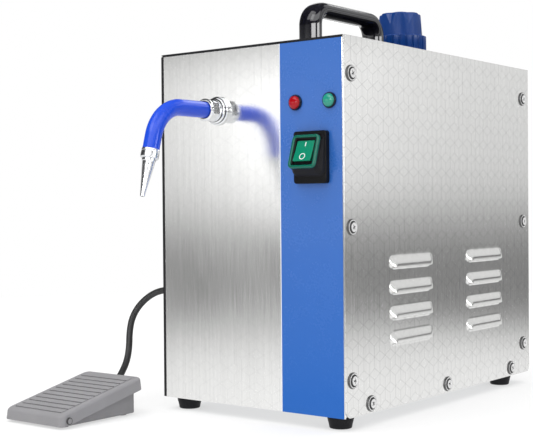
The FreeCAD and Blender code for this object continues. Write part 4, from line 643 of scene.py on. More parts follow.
def moulded(name, base, roughness, grain=900.0, grain_mm=0.02, dust=0.03, coat=0.0, gloss=0.5,
            dulled=None, groove_shade=1.0):
    """Plastic, rubber or paint: a fine grain, uneven gloss and slight wear; dulled gives the
    heights between which the gloss comes back, and the last number how dark the painted shade in
    the grooves is."""
    made = Finish(name, base, Specular_IOR_Level=gloss, Coat_Weight=coat, Coat_Roughness=0.08)
    if dulled:
        made.set(Specular_IOR_Level=made.ramp(made.separate(made.coords())[2], *dulled,
                                              0.05, gloss))
    fine, patchy = made.noise(made.coords(), grain, 3.0, 0.6), made.noise(made.coords(), 35.0, 3.0)
    light = tuple(min(1.0, channel * (1.0 + dust) + dust * 0.25) for channel in base)
    tint = made.mix(made.ramp(patchy, 0.4, 0.75), base, light)
    # painted shade: the base colour darkened in the grooves that the mesh marks
    if groove_shade < 1.0:
        tint = made.soiled(tuple(channel * groove_shade for channel in base), tint)
    made.set(Base_Color=tint,
             Roughness=made.ramp(fine, 0.3, 0.7, roughness * 0.9, roughness * 1.15)
             + made.ramp(patchy, 0.45, 0.75, 0.0, 0.06))
    made.bump(fine, grain_mm, 0.6)
    return made.material


FINISH = {}
# each row is what its function takes; a colour can be the name of one of FinishColours
STAINLESS = {"side": ("Brushed stainless, sides", "stainless", "y", 0.24),
             "skin": ("Brushed stainless, front", "stainless", "x", 0.07)}
METALS = {
    "chrome": ("Chrome plate", (0.90, 0.91, 0.93), 0.17, 0.03, 60, 0.0003),
    # True at the end of the union's and the fixings' rows paints shade into their grooves
    "union": ("Chrome plate, union", (0.88, 0.89, 0.91), 0.08, 0.03, 60, 0.0003, 1.0, True),
    "nickel": ("Nickel-plated steel", (0.82, 0.82, 0.83), 0.26, 0.12, 260),
    "fixing": ("Nickel-plated fixings", (0.86, 0.86, 0.86), 0.30, 0.10, 260, 0.01, 0.45, True),
    "brass": ("Brass", (0.72, 0.50, 0.20), 0.24, 0.12),
    "boiler": ("Boiler steel", (0.60, 0.60, 0.60), 0.34, 0.12),
    "galvanised": ("Galvanised sheet", (0.62, 0.64, 0.66), 0.38, 0.16, 45, 0.05),
    "spring": ("Spring steel", (0.42, 0.42, 0.43), 0.30),
}
MOULDED = {
    "stripe": ("Blue stripe paint", "stripe", 0.24, 500, 0.012, 0.006, 0, 0.6, (0.03, 0.18)),
    "line": ("White edge paint", (0.82, 0.83, 0.85), 0.35),
    "powder": ("Black powder coat", (0.006, 0.006, 0.008), 0.38, 1500, 0.06, 0.03, 0, 0.3),
    "gloss": ("Black gloss plastic", (0.003, 0.003, 0.008), 0.10, 300, 0.004, 0.01, 0.8),
    "switch_black": ("Black switch plastic", (0.0035, 0.0035, 0.0045), 0.30, 700, 0.02, 0.02,
                     0, 0.15),
    "rubber": ("Black rubber", (0.008, 0.008, 0.010), 0.50, 1100, 0.04, 0.03, 0, 0.15),
    "cap": ("Blue cap plastic", "cap", 0.20, 350, 0.010, 0.01, 0, 0.38, (0.393, 0.401)),
    "hose": ("Blue silicone sleeve", "hose", 0.22, 250, 0.010, 0.03, 0.25, 0.4),
    "treadle": ("Grey treadle plastic", "treadle", 0.48, 1300, 0.05, 0.04),
    # the last number of the ribs' and the pin's rows is how dark the painted shade in their grooves
    # is
    "ribs": ("Grey rib plastic", "treadle", 0.48, 1300, 0.05, 0.04, 0, 0.5, None, 0.45),
    "pin": ("Grey axle cap", "treadle", 0.45, 1300, 0.03, 0.02, 0, 0.5, None, 0.12),
    # the tray's colour is the treadle's grey darkened by a fifth: painted shade under the treadle
    "pedal_dark": ("Dark grey pedal plastic", "tray", 0.52, 1300, 0.05, 0.04),
    "cord": ("Black cord jacket", (0.022, 0.022, 0.023), 0.42, 800, 0.03, 0.05),
    "bezel": ("Green bezel plastic", "bezel", 0.16, 300, 0.005, 0.02, 0.2, 0.3),
    "rocker": ("Lit green rocker", "rocker", 0.18, 300, 0.004, 0.02, 0.1, 0.2),
    "mark": ("White switch marks", (0.86, 0.88, 0.87), 0.35),
    "red": ("Red lens", "red", 0.12, 260, 0.004, 0.01, 0.3, 0.25),
    "green": ("Green lens", "green", 0.12, 260, 0.004, 0.02, 0.5, 0.4),
    "lamp_ring": ("Dark lamp bezel", (0.006, 0.008, 0.020), 0.24, 500, 0.02, 0.02, 0, 0.3),
    "grip": ("Red grip vinyl", "grip", 0.36, 700, 0.03),
    "wrap": ("Glass-fibre wrap", (0.72, 0.70, 0.64), 0.85, 500, 0.4, 0.05),
    "silicone": ("Clear silicone", (0.70, 0.72, 0.72), 0.45),
}


def make_finishes():
    """Every material of the object, made once."""
    colours = bpy.context.scene.steam_cleaner.finish
    for rule, rows in ((stainless, STAINLESS), (metal, METALS), (moulded, MOULDED)):
        for key, (name, base, *numbers) in rows.items():
            base = tuple(getattr(colours, base)) if isinstance(base, str) else base
            FINISH[key] = rule(name, base, *numbers)


# ---------------- stage
class STEAM_OT_stage(bpy.types.Operator):
    """Floor, soft light, world and camera"""
    bl_idname = "steam_cleaner.stage"
    bl_label = "Stage"

    # the camera: place in metres, turns in degrees, focal length in widths of the image
    PLACE, YAW, PITCH, ROLL = (0.7408, -1.0113, 0.2071), -38.014, -0.737, -0.468
    FOCAL, SENSOR = 1158.77 / 533.0, 36.0
    FLOOR = 1.55
    # what gloss reflects: brightness by the sine of the elevation, a pale room with a dark
    # band just under the horizon and a dark ceiling
    ROOM = ((-0.300, 1.00), (-0.165, 1.16), (-0.150, 1.18), (-0.128, 1.10), (-0.112, 0.92),
            (-0.097, 0.31), (-0.082, 0.235), (-0.050, 0.26), (-0.030, 0.33), (-0.012, 0.56),
            (0.012, 0.88), (0.040, 0.97), (0.075, 0.99), (0.108, 1.12), (0.124, 0.86),
            (0.142, 0.28), (0.175, 0.07), (0.600, 0.05), (1.000, 0.12))
    # above the horizon: side, its share from and to, brightness at the end
    LEFT, BACK = 0, 1
    FALLS = ((LEFT, 0.30, 0.60, 1.90), (LEFT, 0.605, 0.668, 0.46), (BACK, 0.30, 0.75, 1.19),
             (BACK, 0.83, 0.87, 0.75))
    # soft boxes: azimuths from and to, sines of elevation from and to, brightness
    BOXES = ((-8.0, 36.0, 0.115, 0.235, 8.0), (60.0, 112.0, 0.115, 0.220, 8.0),
             (178.0, 186.0, 0.560, 0.680, 5.0), (138.0, 176.0, 0.220, 0.860, 0.80),
             (98.0, 139.0, 0.210, 0.620, 0.80), (196.0, 228.0, 0.300, 0.600, 1.0),
             (206.0, 250.0, 0.020, 0.300, 0.35), (-20.0, 100.0, 0.380, 0.800, 2.0))

    def execute(self, context):
        scene = context.scene
        scene.view_settings.view_transform = "Standard"
        self.camera(scene)
        self.floor()
        self.world(scene)
        self.lamp(Vector((-0.5, -1.7, 2.3)), Vector((0.0, 0.0, 0.15)), 1.8, 16.0)
        return {"FINISHED"}

    def camera(self, scene):
        yaw, pitch, roll = radians(self.YAW), radians(self.PITCH), radians(self.ROLL)
        ahead = Vector((sin(yaw) * cos(pitch), cos(yaw) * cos(pitch), sin(pitch)))
        right = Vector((cos(yaw), -sin(yaw), 0.0))
        up = right.cross(ahead)
        right, up = right * cos(roll) + up * sin(roll), up * cos(roll) - right * sin(roll)
        data = bpy.data.cameras.new("view")
        data.sensor_fit, data.sensor_width = "HORIZONTAL", self.SENSOR
        data.lens = self.SENSOR * self.FOCAL
        data.clip_start, data.clip_end = 0.05, 50.0
        scene.camera = placed("view", data)
        turn = Matrix((right, up, -ahead)).transposed().to_4x4()
        scene.camera.matrix_world = Matrix.Translation(self.PLACE) @ turn

    def floor(self):
        bm = bmesh.new()
        bmesh.ops.create_circle(bm, cap_ends=True, radius=self.FLOOR, segments=96)
        pale = Finish("Pale floor", (0.36, 0.36, 0.36), Roughness=0.9, Specular_IOR_Level=0.0,
                      Emission_Color=(1.0, 1.0, 1.0), Emission_Strength=0.56)
        floor = placed("floor", plain("floor", bm))
        floor.data.materials.append(pale.material)
        floor.location = (0.03, 0.0, -0.0004)
        floor.visible_glossy = False

    def world(self, scene):
        scene.world = bpy.data.worlds.new("studio")
        scene.world.cycles.sampling_method = "NONE"
        scene.world.use_nodes = True
        made = Tree(scene.world.node_tree)
        made.tree.nodes.clear()
        x, y, z = made.separate(made.out("ShaderNodeTexCoord", output="Generated"))
        flat = made.math("MAXIMUM", made.math("SQRT", 1.0 - z * z), 0.001)
        sides = left, back = x * -1.0 / flat, y / flat
        # the dark ceiling starts a little higher at the back
        late = made.ramp(z, 0.08, 0.13) * made.ramp(back, 0.3, 0.7, 0.0, 0.03)
        first, last = self.ROOM[0][0], self.ROOM[-1][0]
        levels = made.add("ShaderNodeValToRGB", {0: made.ramp(z - late, first, last)})
        stops = levels.color_ramp.elements
        for sine, _ in self.ROOM[1:-1]:
            stops.new((sine - first) / (last - first))
        for stop, (_, level) in zip(stops, self.ROOM):
            stop.color = (level / 2, level / 2, level / 2, 1.0)
        room = Value(made, levels.outputs[0]) * 2.0
        room *= made.ramp(left, 0.60, 0.69, 1.0, 0.84) * made.ramp(back, 0.2, 0.8, 1.0, 0.86)
        above = made.ramp(z, -0.036, -0.008)
        for side, start, stop, level in self.FALLS:
            room *= made.ramp(sides[side], start, stop, 0.0, level - 1.0) * above + 1.0
        turn = made.math("ARCTAN2", x, y * -1.0) * (180 / pi)
        for start, stop, low, high, level in self.BOXES:
            past = (turn - start) % 360.0
            span = stop - start
            inside = made.ramp(past, 0.0, 1.5) * made.ramp(past, span - 1.5, span, 1.0, 0.0)
            height = made.ramp(z, low, low + 0.012) * made.ramp(z, high - 0.02, high, 1.0, 0.0)
            room = made.math("MAXIMUM", room, inside * height * level)
        # soft light falls mostly from above; the camera itself sees plain white
        mirrored, direct = (made.out("ShaderNodeLightPath", output=f"Is {kind} Ray")
                            for kind in ("Glossy", "Camera"))
        soft = made.math("MAXIMUM", z, 0.0) * 1.85 + 0.215
        soft = made.math("MAXIMUM", soft, made.math("LESS_THAN", z, 0.0))
        scattered = made.math("MAXIMUM", 1.0 - mirrored - direct, 0.0)
        level = scattered * soft + (mirrored * room + direct)
        light = made.out("ShaderNodeBackground", {"Color": (1.0, 1.0, 1.0), "Strength": level})
        made.add("ShaderNodeOutputWorld", {"Surface": light})

    def lamp(self, place, aim, span, power):
        data = bpy.data.lights.new("key", "AREA")
        data.shape, data.size, data.size_y = "RECTANGLE", span, span
        data.energy, data.specular_factor = power, 0.0
        lamp = placed("key", data)
        lamp.location = place
        lamp.rotation_euler = (aim - place).to_track_quat("-Z", "Y").to_euler()


# ---------------- cord
class STEAM_OT_cord(bpy.types.Operator):
    """Pedal cord with its gland and strain relief"""
    bl_idname = "steam_cleaner.cord"
    bl_label = "Pedal cord"

    # from the casing's mid-width, front face and bottom
    ROUTE = ((-128, 45, 106), (-147, 45, 106), (-166, 42.5, 102), (-180.5, 36.5, 90.5),
             (-187.5, 30, 75.5), (-187, 25, 59.5), (-182, 19.5, 44.5), (-177, 11, 30.5),
             (-173.5, -1, 18.5), (-171, -14, 8.5), (-170, -30, 3))

    def execute(self, context):
        sizes = context.scene.steam_cleaner.cord
        origin = Vector((MID_X, SKIN_LOW.y, SKIN_LOW.z))
        route = [(origin + Vector(place)) * MM for place in self.ROUTE]
        curve = bpy.data.curves.new("pedal_lead", "CURVE")
        curve.dimensions = "3D"
        spline = curve.splines.new("NURBS")
        spline.points.add(len(route) - 1)
        for point, place in zip(spline.points, route):
            point.co = (*place, 1.0)
        spline.order_u, spline.use_endpoint_u, spline.resolution_u = 3, True, 10
        curve.bevel_depth, curve.bevel_resolution = sizes.diameter / 2, 6
        curve.use_fill_caps = True
        curve.materials.append(FINISH["cord"])
        lead = placed("pedal_lead", curve)
        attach(lead, "root")
        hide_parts("pedal_cord")
        self.gland()
        self.relief()
        return {"FINISHED"}

    def gland(self):
        """Hexagon, ribbed dome nut and the seal round the cord."""
        start = middle("cord_gland", x=box("left_side_panel")[0].x + 4.6)
        dome = spin([(3.55, 8.8, 0), (8.2, 8.8, 0.2), (8.0, 10.6, 2.0), (5.8, 15.2, 1.2),
                     (3.55, 15.4, 0.3)], start, -X, 48)
        for radius, foot, head, count, groove in ((9.9, 0.0, 4.8, 6, 0.0),
                                                  (9.0, 5.2, 9.0, 36, 0.5)):
            bridge([ring(start - X * lift, -X, radius - inset, count, pi / 6, groove)
                    for lift, inset in ((foot, 0.6), (foot + 0.5, 0.0), (head - 0.6, 0.0),
                                        (head, 0.8))], dome)
        show("gland_nut", dome, "switch_black", "black_plastic", "cord_gland", 30)

    def relief(self):
        """A tapered, ribbed sleeve where the cord enters the pedal."""
        low, high = box("strain_relief")
        length = high.y - low.y
        corners = [(3.6, 0.0, 0), (5.8, 0.0, 0.3), (5.8, 7.2, 0.5)]
        for index in range(4):
            radius, base = 5.5 - 0.42 * index, 7.8 + 2.4 * index
            corners += [(radius, base, 0.25), (radius - 0.15, base + 1.5, 0.25),
                        (radius - 0.75, base + 1.6, 0.15), (radius - 0.8, base + 2.3, 0.15)]
        corners = [corner for corner in corners if corner[1] < length - 0.9]
        corners += [(4.3, length - 0.6, 0.3), (3.6, length, 0.1)]
        show("cord_relief", spin(corners, middle("strain_relief", y=low.y), Y, 48, 3), "rubber",
             "black_rubber", "strain_relief", 40)


# ---------------- casing
class STEAM_OT_side_sheets(bpy.types.Operator):
    """Side sheets with two columns of pressed louvers"""
    bl_idname = "steam_cleaner.side_sheets"
    bl_label = "Side sheets"

    def execute(self, context):
        sizes = values("casing")
        for side, word in ((1, "right"), (-1, "left")):
            node = word + "_side_panel"
            piece = show(word + "_side_sheet", self.sheet(sizes, node, side), "side",
                         "brushed_stainless", node, 28, even=False)
            gauge = piece.modifiers.new("Gauge", "SOLIDIFY")
            gauge.thickness, gauge.offset = sizes.sheet * MM, -1.0
            edge = piece.modifiers.new("Edge", "BEVEL")
            edge.width, edge.segments = 0.22 * MM, 2
            edge.limit_method, edge.angle_limit = "ANGLE", radians(60)
            even_normals(piece)
        return {"FINISHED"}

    def cell(self, sizes):
        """One louver in its plain border: a round-ended hood leaning out over a slot."""
        tall, rise, half = sizes.louver_tall, sizes.louver_proud, sizes.louver_long / 2
        border, end, arc, lip, gap = 2.4, 9.5, 5.6, 1.0, 0.35
        fine = [-half - border] + [-half - 1.2 + step * 0.62 for step in range(20)]
        columns = (fine + [fine[-1] * (1 - step / 3) for step in range(1, 6)]
                   + [-value for value in reversed(fine)])
        above = [gap + 0.55 * step for step in range(23)] + [tall + border]
        below = [-border, -1.6, -1.1, -0.6, -0.2, 0.0]

        def lift(u, v):
            """Leans out evenly from the top edge, and closes in an arc at both ends."""
            past = min(1.0, max(0.0, (abs(u) - half + end) / end))
            low = arc * (1 - sqrt(1 - past ** 3.2))
            top = tall - low
            if v >= top:
                return 0.0
            lean = min(1.0, (top - v) / (top - lip - gap))
            lean += 0.16 * sin(pi * lean)
            side = cos(pi / 2 * past) ** 0.75 if past < 1 else 0.0
            foot = min(1.0, max(0.0, (v - low) / (2.6 * past))) if past > 0 else 1.0
            curl = 1 - 0.24 * max(0.0, 1 - (v - gap) / lip) ** 2
            return rise * lean * side * foot * curl

        def flare(u, v):
            """The slot's lower edge, turned out a little."""
            share = max(0.0, 1 + v / 1.4) * min(1.0, lift(u, gap) / (0.6 * rise))
            return 0.45 * share * share
        bm = bmesh.new()
        foot, hood = [[[bm.verts.new((rule(u, v), u, v)) for u in columns] for v in heights]
                      for rule, heights in ((flare, below), (lift, above))]
        for under, over, u in zip(foot[-1], hood[0], columns):
            if over.co.x < 0.02 or abs(u) > half - 3.2:
                over.co.x = over.co.z = under.co.x = 0.0
        for rows in (foot, hood):
            for low, high in zip(rows, rows[1:]):
                for index in range(len(columns) - 1):
                    bm.faces.new((low[index], low[index + 1], high[index + 1], high[index]))
        bmesh.ops.remove_doubles(bm, verts=bm.verts, dist=1e-3)
        bmesh.ops.translate(bm, verts=bm.verts, vec=(0.0, 0.0, -tall))
        return bpy.data.objects.new("louver_cell", plain("louver_cell", bm))

    def louvers(self, sizes):
        """Rows and columns of louvers as one mesh in the side's own plane."""
        form = Form("Louver rows", Louver="Object", Rows="Int", Pitch="Float",
                    Column_step="Float")
        row = form.out("GeometryNodeMeshLine", {
            "Count": 2, "Offset": form.combine(0.0, form.Column_step, 0.0)}, mode="OFFSET")
        column = form.out("GeometryNodeMeshLine", {
            "Count": form.Rows, "Offset": form.combine(0.0, 0.0, form.Pitch * -1.0)},
            mode="OFFSET")
        form.end(form.copies(row, form.copies(column, form.Louver)))
        cell = self.cell(sizes)
        mesh = form.grow("louver_rows", bpy.data.meshes.new("louver_seat"), Louver=cell,
                         Rows=sizes.louver_rows, Pitch=sizes.louver_pitch,
                         Column_step=sizes.louver_step, Material=FINISH["side"])
        bpy.data.objects.remove(cell)
        return mesh

    def sheet(self, sizes, node, side):
        """The sheet round its louvers, filled between their borders and the outline."""
        low, high = box(node)
        bm = bmesh.new()
        bm.from_mesh(self.louvers(sizes))
        half = sizes.louver_long / 2
        first, top = low.y + sizes.louver_front + half, low.z + sizes.louver_top
        bmesh.ops.translate(bm, verts=bm.verts, vec=(0.0, first, top))
        centres = [first, first + sizes.louver_step]
        bottoms = [top - sizes.louver_tall - row * sizes.louver_pitch
                   for row in range(sizes.louver_rows)]

        def on_slot(edge):
            spot = (edge.verts[0].co + edge.verts[1].co) / 2
            return (any(-1e-3 < spot.z - z < 0.4 for z in bottoms)
                    and any(abs(spot.y - y) < half for y in centres))
        border = [edge for edge in bm.edges if len(edge.link_faces) == 1 and not on_slot(edge)]
        span = high - low
        outline = rounded([(0.0, 0.0, sizes.corner), (span.y, 0.0, sizes.corner),
                           (span.y, span.z, 0.0), (0.0, span.z, 0.0)], 8)
        corners = [bm.verts.new((0.0, low.y + p.x, low.z + p.y)) for p in outline]
        rim = [bm.edges.new((corners[index - 1], corners[index]))
               for index in range(len(corners))]
        bmesh.ops.triangle_fill(bm, edges=border + rim, use_beauty=True, normal=X)
        for face in bm.faces:
            face.normal_update()
            if (face.normal.x < 0) == (side > 0):
                face.normal_flip()
        for vert in bm.verts:
            vert.co.x = MID_X + side * (HALF_WIDE + sizes.sheet + vert.co.x)
        return plain(node, bm)


class STEAM_OT_skins(bpy.types.Operator):
    """Folded front and rear sheets, the blue stripe and the black top plate"""
    bl_idname = "steam_cleaner.skins"
    bl_label = "Front, rear and top"

    def execute(self, context):
        sizes = values("casing")
        for name, node, sign in (("front_skin", "front_panel", 1),
                                 ("rear_skin", "rear_panel", -1)):
            low, high = box(node)
            face, deep = low.y if sign > 0 else high.y, high.y - low.y
            half, gauge = (high.x - low.x) / 2, sizes.sheet
            outline = rounded([
                (-half, deep, 0), (-half, 0.0, sizes.fold), (half, 0.0, sizes.fold),
                (half, deep, 0), (half - gauge, deep, 0), (half - gauge, gauge, 0.4),
                (-half + gauge, gauge, 0.4), (-half + gauge, deep, 0)], 6)
            bm = bridge([[Vector((MID_X + p.x, face + sign * p.y, z)) for p in outline]
                         for z in (low.z, high.z)])
            if sign > 0:
                cutters = [drill(middle("nozzle_union", y=face), Y, 7.6)]
            else:
                drain = middle("drain_valve_body", y=face, z=box("drain_valve_body")[0].z + 11)
                inlet, reach = middle("power_inlet", y=face), Vector((16, 5, 12))
                cutters = [drill(drain, Y, 7.3), block(inlet - reach, inlet + reach)]
            show(name, opened(name, bm, *cutters), "skin", "brushed_stainless", node, 30)
        low, high = box("blue_stripe")
        line, left = low.x + 1.1, box("left_side_panel")[1].x
        for name, start, stop, back, lift, finish, slot, node in (
                ("stripe", line, high.x - 0.9, 0.0, 0.0, "stripe", "blue_paint", "blue_stripe"),
                ("stripe_line", low.x, line, 0.1, 0.0, "line", "blue_paint", None),
                # a black strip along the left front fold paints the dark reflection and shade that
                # edge shows
                ("edging", left - 1.2, left + 1.5, 0.0, 0.4, "powder", "black_paint", None)):
            show(name, block((start, low.y + back, low.z + lift), (stop, high.y, high.z),
                             0.12, 2), finish, slot, node, 40)
        bore = drill(middle("filler_neck", z=TOP_LOW.z), Z, 17.3)
        show("top_plate", opened("top_plate", block(TOP_LOW, TOP_HIGH, 0.7, 4), bore), "powder",
             "black_paint", "top_panel", 40)
        return {"FINISHED"}


class STEAM_OT_fixings(bpy.types.Operator):
    """Cross-recess screws on cup washers in both side sheets"""
    bl_idname = "steam_cleaner.fixings"
    bl_label = "Side screws and washers"

    def centres(self, reach):
        """Middles of the right side's washers, as (y, z), read from their own solids."""
        groups = []
        for vert in NODES["side_washers"].data.vertices:
            place = vert.co.yz / MM
            if vert.co.x > MID_X * MM:
                for group in groups:
                    if (group[0] - place).length < reach:
                        group.append(place)
                        break
                else:
                    groups.append([place])
        return [[(min(line) + max(line)) / 2 for line in zip(*group)] for group in groups]

    def screw(self, sizes):
        """Pan head with a tapered cross recess, and its shank."""
        r, base, top = sizes.head, sizes.washer_rise * 0.62, sizes.washer_rise + sizes.head_rise
        head = spin([(0.0, top, 0), (r * 0.80, top, 0.9), (r, base + 0.9, 0.6), (r, base, 0.2),
                     (2.0, base, 0), (2.0, -6.0, 0), (0.0, -7.0, 0)], Vector(), X, 40, 5, False)
        reach, half = sizes.recess_long / 2, sizes.recess_wide / 2
        cross = [Matrix.Rotation(turn * pi / 2, 2) @ Vector(corner) for turn in range(4)
                 for corner in ((reach, -half), (reach, half), (half * 1.15, half * 1.15))]
        recess = bridge([[Vector((x, p.x * share, p.y * share)) for p in cross]
                         for x, share in ((top + 0.5, 1.12), (top - sizes.recess_deep, 0.5))])

        # painted shade: the cross recess and a ring round the head's rim are darkened
        def clean(place):
            across = place.yz.length
            if place.x < top - 0.3 and across < reach:
                return 0.0
            return 1.0 if across < 0.84 * r else 0.06
        return paint_shade(opened("screw_head", head, recess), clean)

    def washer(self, sizes):
        """A raised cup washer with a rolled rim."""
        r, h = sizes.washer, sizes.washer_rise
        cup = spin([(2.3, 0.0, 0), (r, 0.0, 0.15), (r - 0.15, 0.6, 0.3), (r - 0.55, h, 0.3),
                    (r - 0.95, h, 0), (6.0, h, 0), (5.8, h, 0.1), (5.45, 0.6, 0.2),
                    (2.3, 0.6, 0)], Vector(), X, 56)

        # painted shade: a dark outline at the rim and dark under the head
        def clean(place):
            across = place.yz.length
            return 0.12 if across > r - 0.75 else float(across > 5.9)
        return paint_shade(solid("cup_washer", cup), clean)

    def execute(self, context):
        sizes = values("fixing")
        form = Form("Panel fixings", Fixing="Object", Turn="Float", Seed="Int")
        side = form.out("GeometryNodeInputNamedAttribute", {"Name": "side"}, data_type="FLOAT")
        spun = form.out("FunctionNodeRandomValue", {3: form.Turn, "Seed": form.Seed}, 1,
                        data_type="FLOAT")
        turn = form.combine(spun, 0.0, form.ramp(side, -1.0, 1.0, pi, 0.0))
        form.end(form.copies(form.Geometry, form.Fixing,
                             Rotation=form.out("FunctionNodeEulerToRotation", {0: turn})))
        spots = [(side, (MID_X + side * (HALF_WIDE + 1.2), y, z)) for side in (-1, 1)
                 for y, z in self.centres(2.2 * sizes.washer)]
        for name, mesh, node in (("pan_screws", self.screw(sizes), "side_screws"),
                                 ("cup_washers", self.washer(sizes), "side_washers")):
            item = bpy.data.objects.new(name, mesh)
            points = bpy.data.meshes.new("fixing_points")
            points.from_pydata([place for _, place in spots], [], [])
            points.attributes.new("side", "FLOAT", "POINT").data.foreach_set(
                "value", [float(side) for side, _ in spots])
            grown = form.grow(name, points, Fixing=item, Turn=pi, Seed=sizes.turn_seed,
                              Material=FINISH["fixing"])
            bpy.data.objects.remove(item)
            show(name, grown, "fixing", "bright_fixings", node, 30)
        return {"FINISHED"}


class STEAM_OT_feet(bpy.types.Operator):
    """Rubber feet under the casing"""
    bl_idname = "steam_cleaner.feet"
    bl_label = "Rubber feet"

    def execute(self, context):
        low, high = box("rubber_feet")
        top, base, tall = 12.5, 10.5, high.z - low.z
        bm = bmesh.new()
        for x in (low.x + top, high.x - top):
            for y in (low.y + top, high.y - top):
                spin([(2.5, 6, 0), (5.5, 6, 0), (5.5, 0.0, 0.5), (base, 0.0, 1.2),
                      (base + 0.6, 3.5, 0.4), (top, tall - 3, 0.6), (top, tall, 0.4),
                      (2.5, tall, 0)], Vector((x, y, low.z)), Z, 48, 4, bm=bm)
        show("feet", bm, "rubber", "black_rubber", "rubber_feet", 40)
        return {"FINISHED"}


# ---------------- handle and cap
class STEAM_OT_handle(bpy.types.Operator):
    """Carry handle: an oval bar bent into a bridge"""
    bl_idname = "steam_cleaner.handle"
    bl_label = "Carry handle"

    def execute(self, context):
        low, high = box("carry_handle")
        wide, thick, bend, steps = high.x - low.x, 15.5, 18.0, 16
        front, back, top = low.y + thick / 2, high.y - thick / 2, high.z - thick / 2
        section = [Vector((copysign(abs(p.x) ** 0.86, p.x) * wide,
                           copysign(abs(p.y) ** 0.86, p.y) * thick)) / 2 for p in circle(1.0, 40)]
        feet = ((0.0, 0.94), (0.6, 0.985), (1.6, 1.0), (12.0, 1.0))
        path = [(front, low.z + z, pi / 2, scale) for z, scale in feet]
        for step in range(steps + 1):
            turn = pi / 2 * step / steps
            path.append((front + bend * (1 - cos(turn)), top - bend + bend * sin(turn),
                         pi / 2 - turn, 1.0))
        path += [(front + bend + (back - front - 2 * bend) * share, top, 0.0, 1.0)
                 for share in (0.25, 0.5, 0.75)]
        for step in range(steps + 1):
            turn = pi / 2 * step / steps
            path.append((back - bend + bend * sin(turn), top - bend + bend * cos(turn),
                         -turn, 1.0))
        path += [(back, low.z + z, -pi / 2, scale) for z, scale in reversed(feet)]
        show("handle", swept([(Vector(((low.x + high.x) / 2, y, z)), X,
                               Vector((0, cos(heading), sin(heading))), scale)
                              for y, z, heading, scale in path], section),
             "gloss", "black_gloss", "carry_handle", 40)
        return {"FINISHED"}


class STEAM_OT_cap(bpy.types.Operator):
    """Screw cap with a ribbed skirt and a faceted knob"""
    bl_idname = "steam_cleaner.cap"
    bl_label = "Filler cap"

    def form(self):
        """The tree that presses ribs and finger notches into a plain turned cap."""
        names = ("Axis_X", "Axis_Y", "Base_Z", "Ribs", "Rib_depth", "Skirt_radius", "Skirt_top",
                 "Notches", "Notch_turn", "Notch_depth", "Notch_width", "Notch_height",
                 "Cap_top", "Soften")
        form = Form("Cap form", **dict.fromkeys(names, "Float"))
        x, y, z = form.separate(form.out("GeometryNodeInputPosition"))
        x, y, height = x - form.Axis_X, y - form.Axis_Y, z - form.Base_Z
        angle, radius = form.math("ARCTAN2", y, x), form.math("SQRT", x * x + y * y)
        # ribs: the grooves between them are pressed into the outer wall of the skirt
        wave = form.ramp(form.math("COSINE", angle * form.Ribs), 0.55, 1.0)
        below = form.math("LESS_THAN", height, form.Skirt_top + 0.3)
        outer = form.math("GREATER_THAN", radius, form.Skirt_radius - 2.4)
        ribbed = radius - form.math("SQRT", wave) * form.Rib_depth * (below * outer)
        # notches: pointed below, widening and deepening evenly towards the knob's top
        sector = 2 * pi / form.Notches
        turn = (angle - form.Notch_turn) % sector - sector * 0.5
        share = (height - (form.Cap_top - form.Notch_height)) / form.Notch_height
        across = form.math("ABSOLUTE", turn * radius) / form.Notch_width
        cut = form.math("SMOOTH_MAX", (share - across) * form.Notch_depth, 0.0, form.Soften)
        above = form.math("GREATER_THAN", height, form.Skirt_top + 2.5)
        final = ribbed - cut * form.ramp(radius, 19.0, 22.0) * above
        scale = final / form.math("MAXIMUM", radius, 0.01) - 1.0
        form.end(form.out("GeometryNodeSetPosition", {
            "Geometry": form.Geometry, "Offset": form.combine(x * scale, y * scale, 0.0)}))
        return form

    def execute(self, context):
        sizes = values("cap")
        axis, bore = middle("cap_knob", z=TOP_HIGH.z), 17.1
        outline = rounded([(bore, sizes.ring_low, 0), (sizes.ring, sizes.ring_low, 0.8),
                           (sizes.ring, sizes.ring_top, 1.1),
                           (sizes.knob_low, sizes.ring_top, 0.5),
                           (sizes.knob_high, sizes.top, 1.6), (0.0, sizes.top, 0)], 6,
                          closed=False)
        roof = sizes.ring_top - 1.0
        points = dense(outline, 0.9, closed=False) + [(0.0, roof), (bore / 2, roof), (bore, roof)]
        mesh = self.form().grow(
            "cap", solid("cap_plain", turned(points, axis, Z, 288)), Axis_X=axis.x,
            Axis_Y=axis.y, Base_Z=axis.z, Ribs=float(sizes.ribs), Rib_depth=sizes.groove,
            Skirt_radius=sizes.ring, Skirt_top=sizes.ring_top, Notches=float(sizes.notches),
            Notch_turn=sizes.notch_turn, Notch_depth=sizes.notch,
            Notch_width=sizes.notch_wide, Notch_height=sizes.notch_tall, Cap_top=sizes.top,
            Soften=0.12, Material=FINISH["cap"])
        show("cap", mesh, "cap", "cap_blue", "cap_knob", 50, "cap_knob")
        return {"FINISHED"}


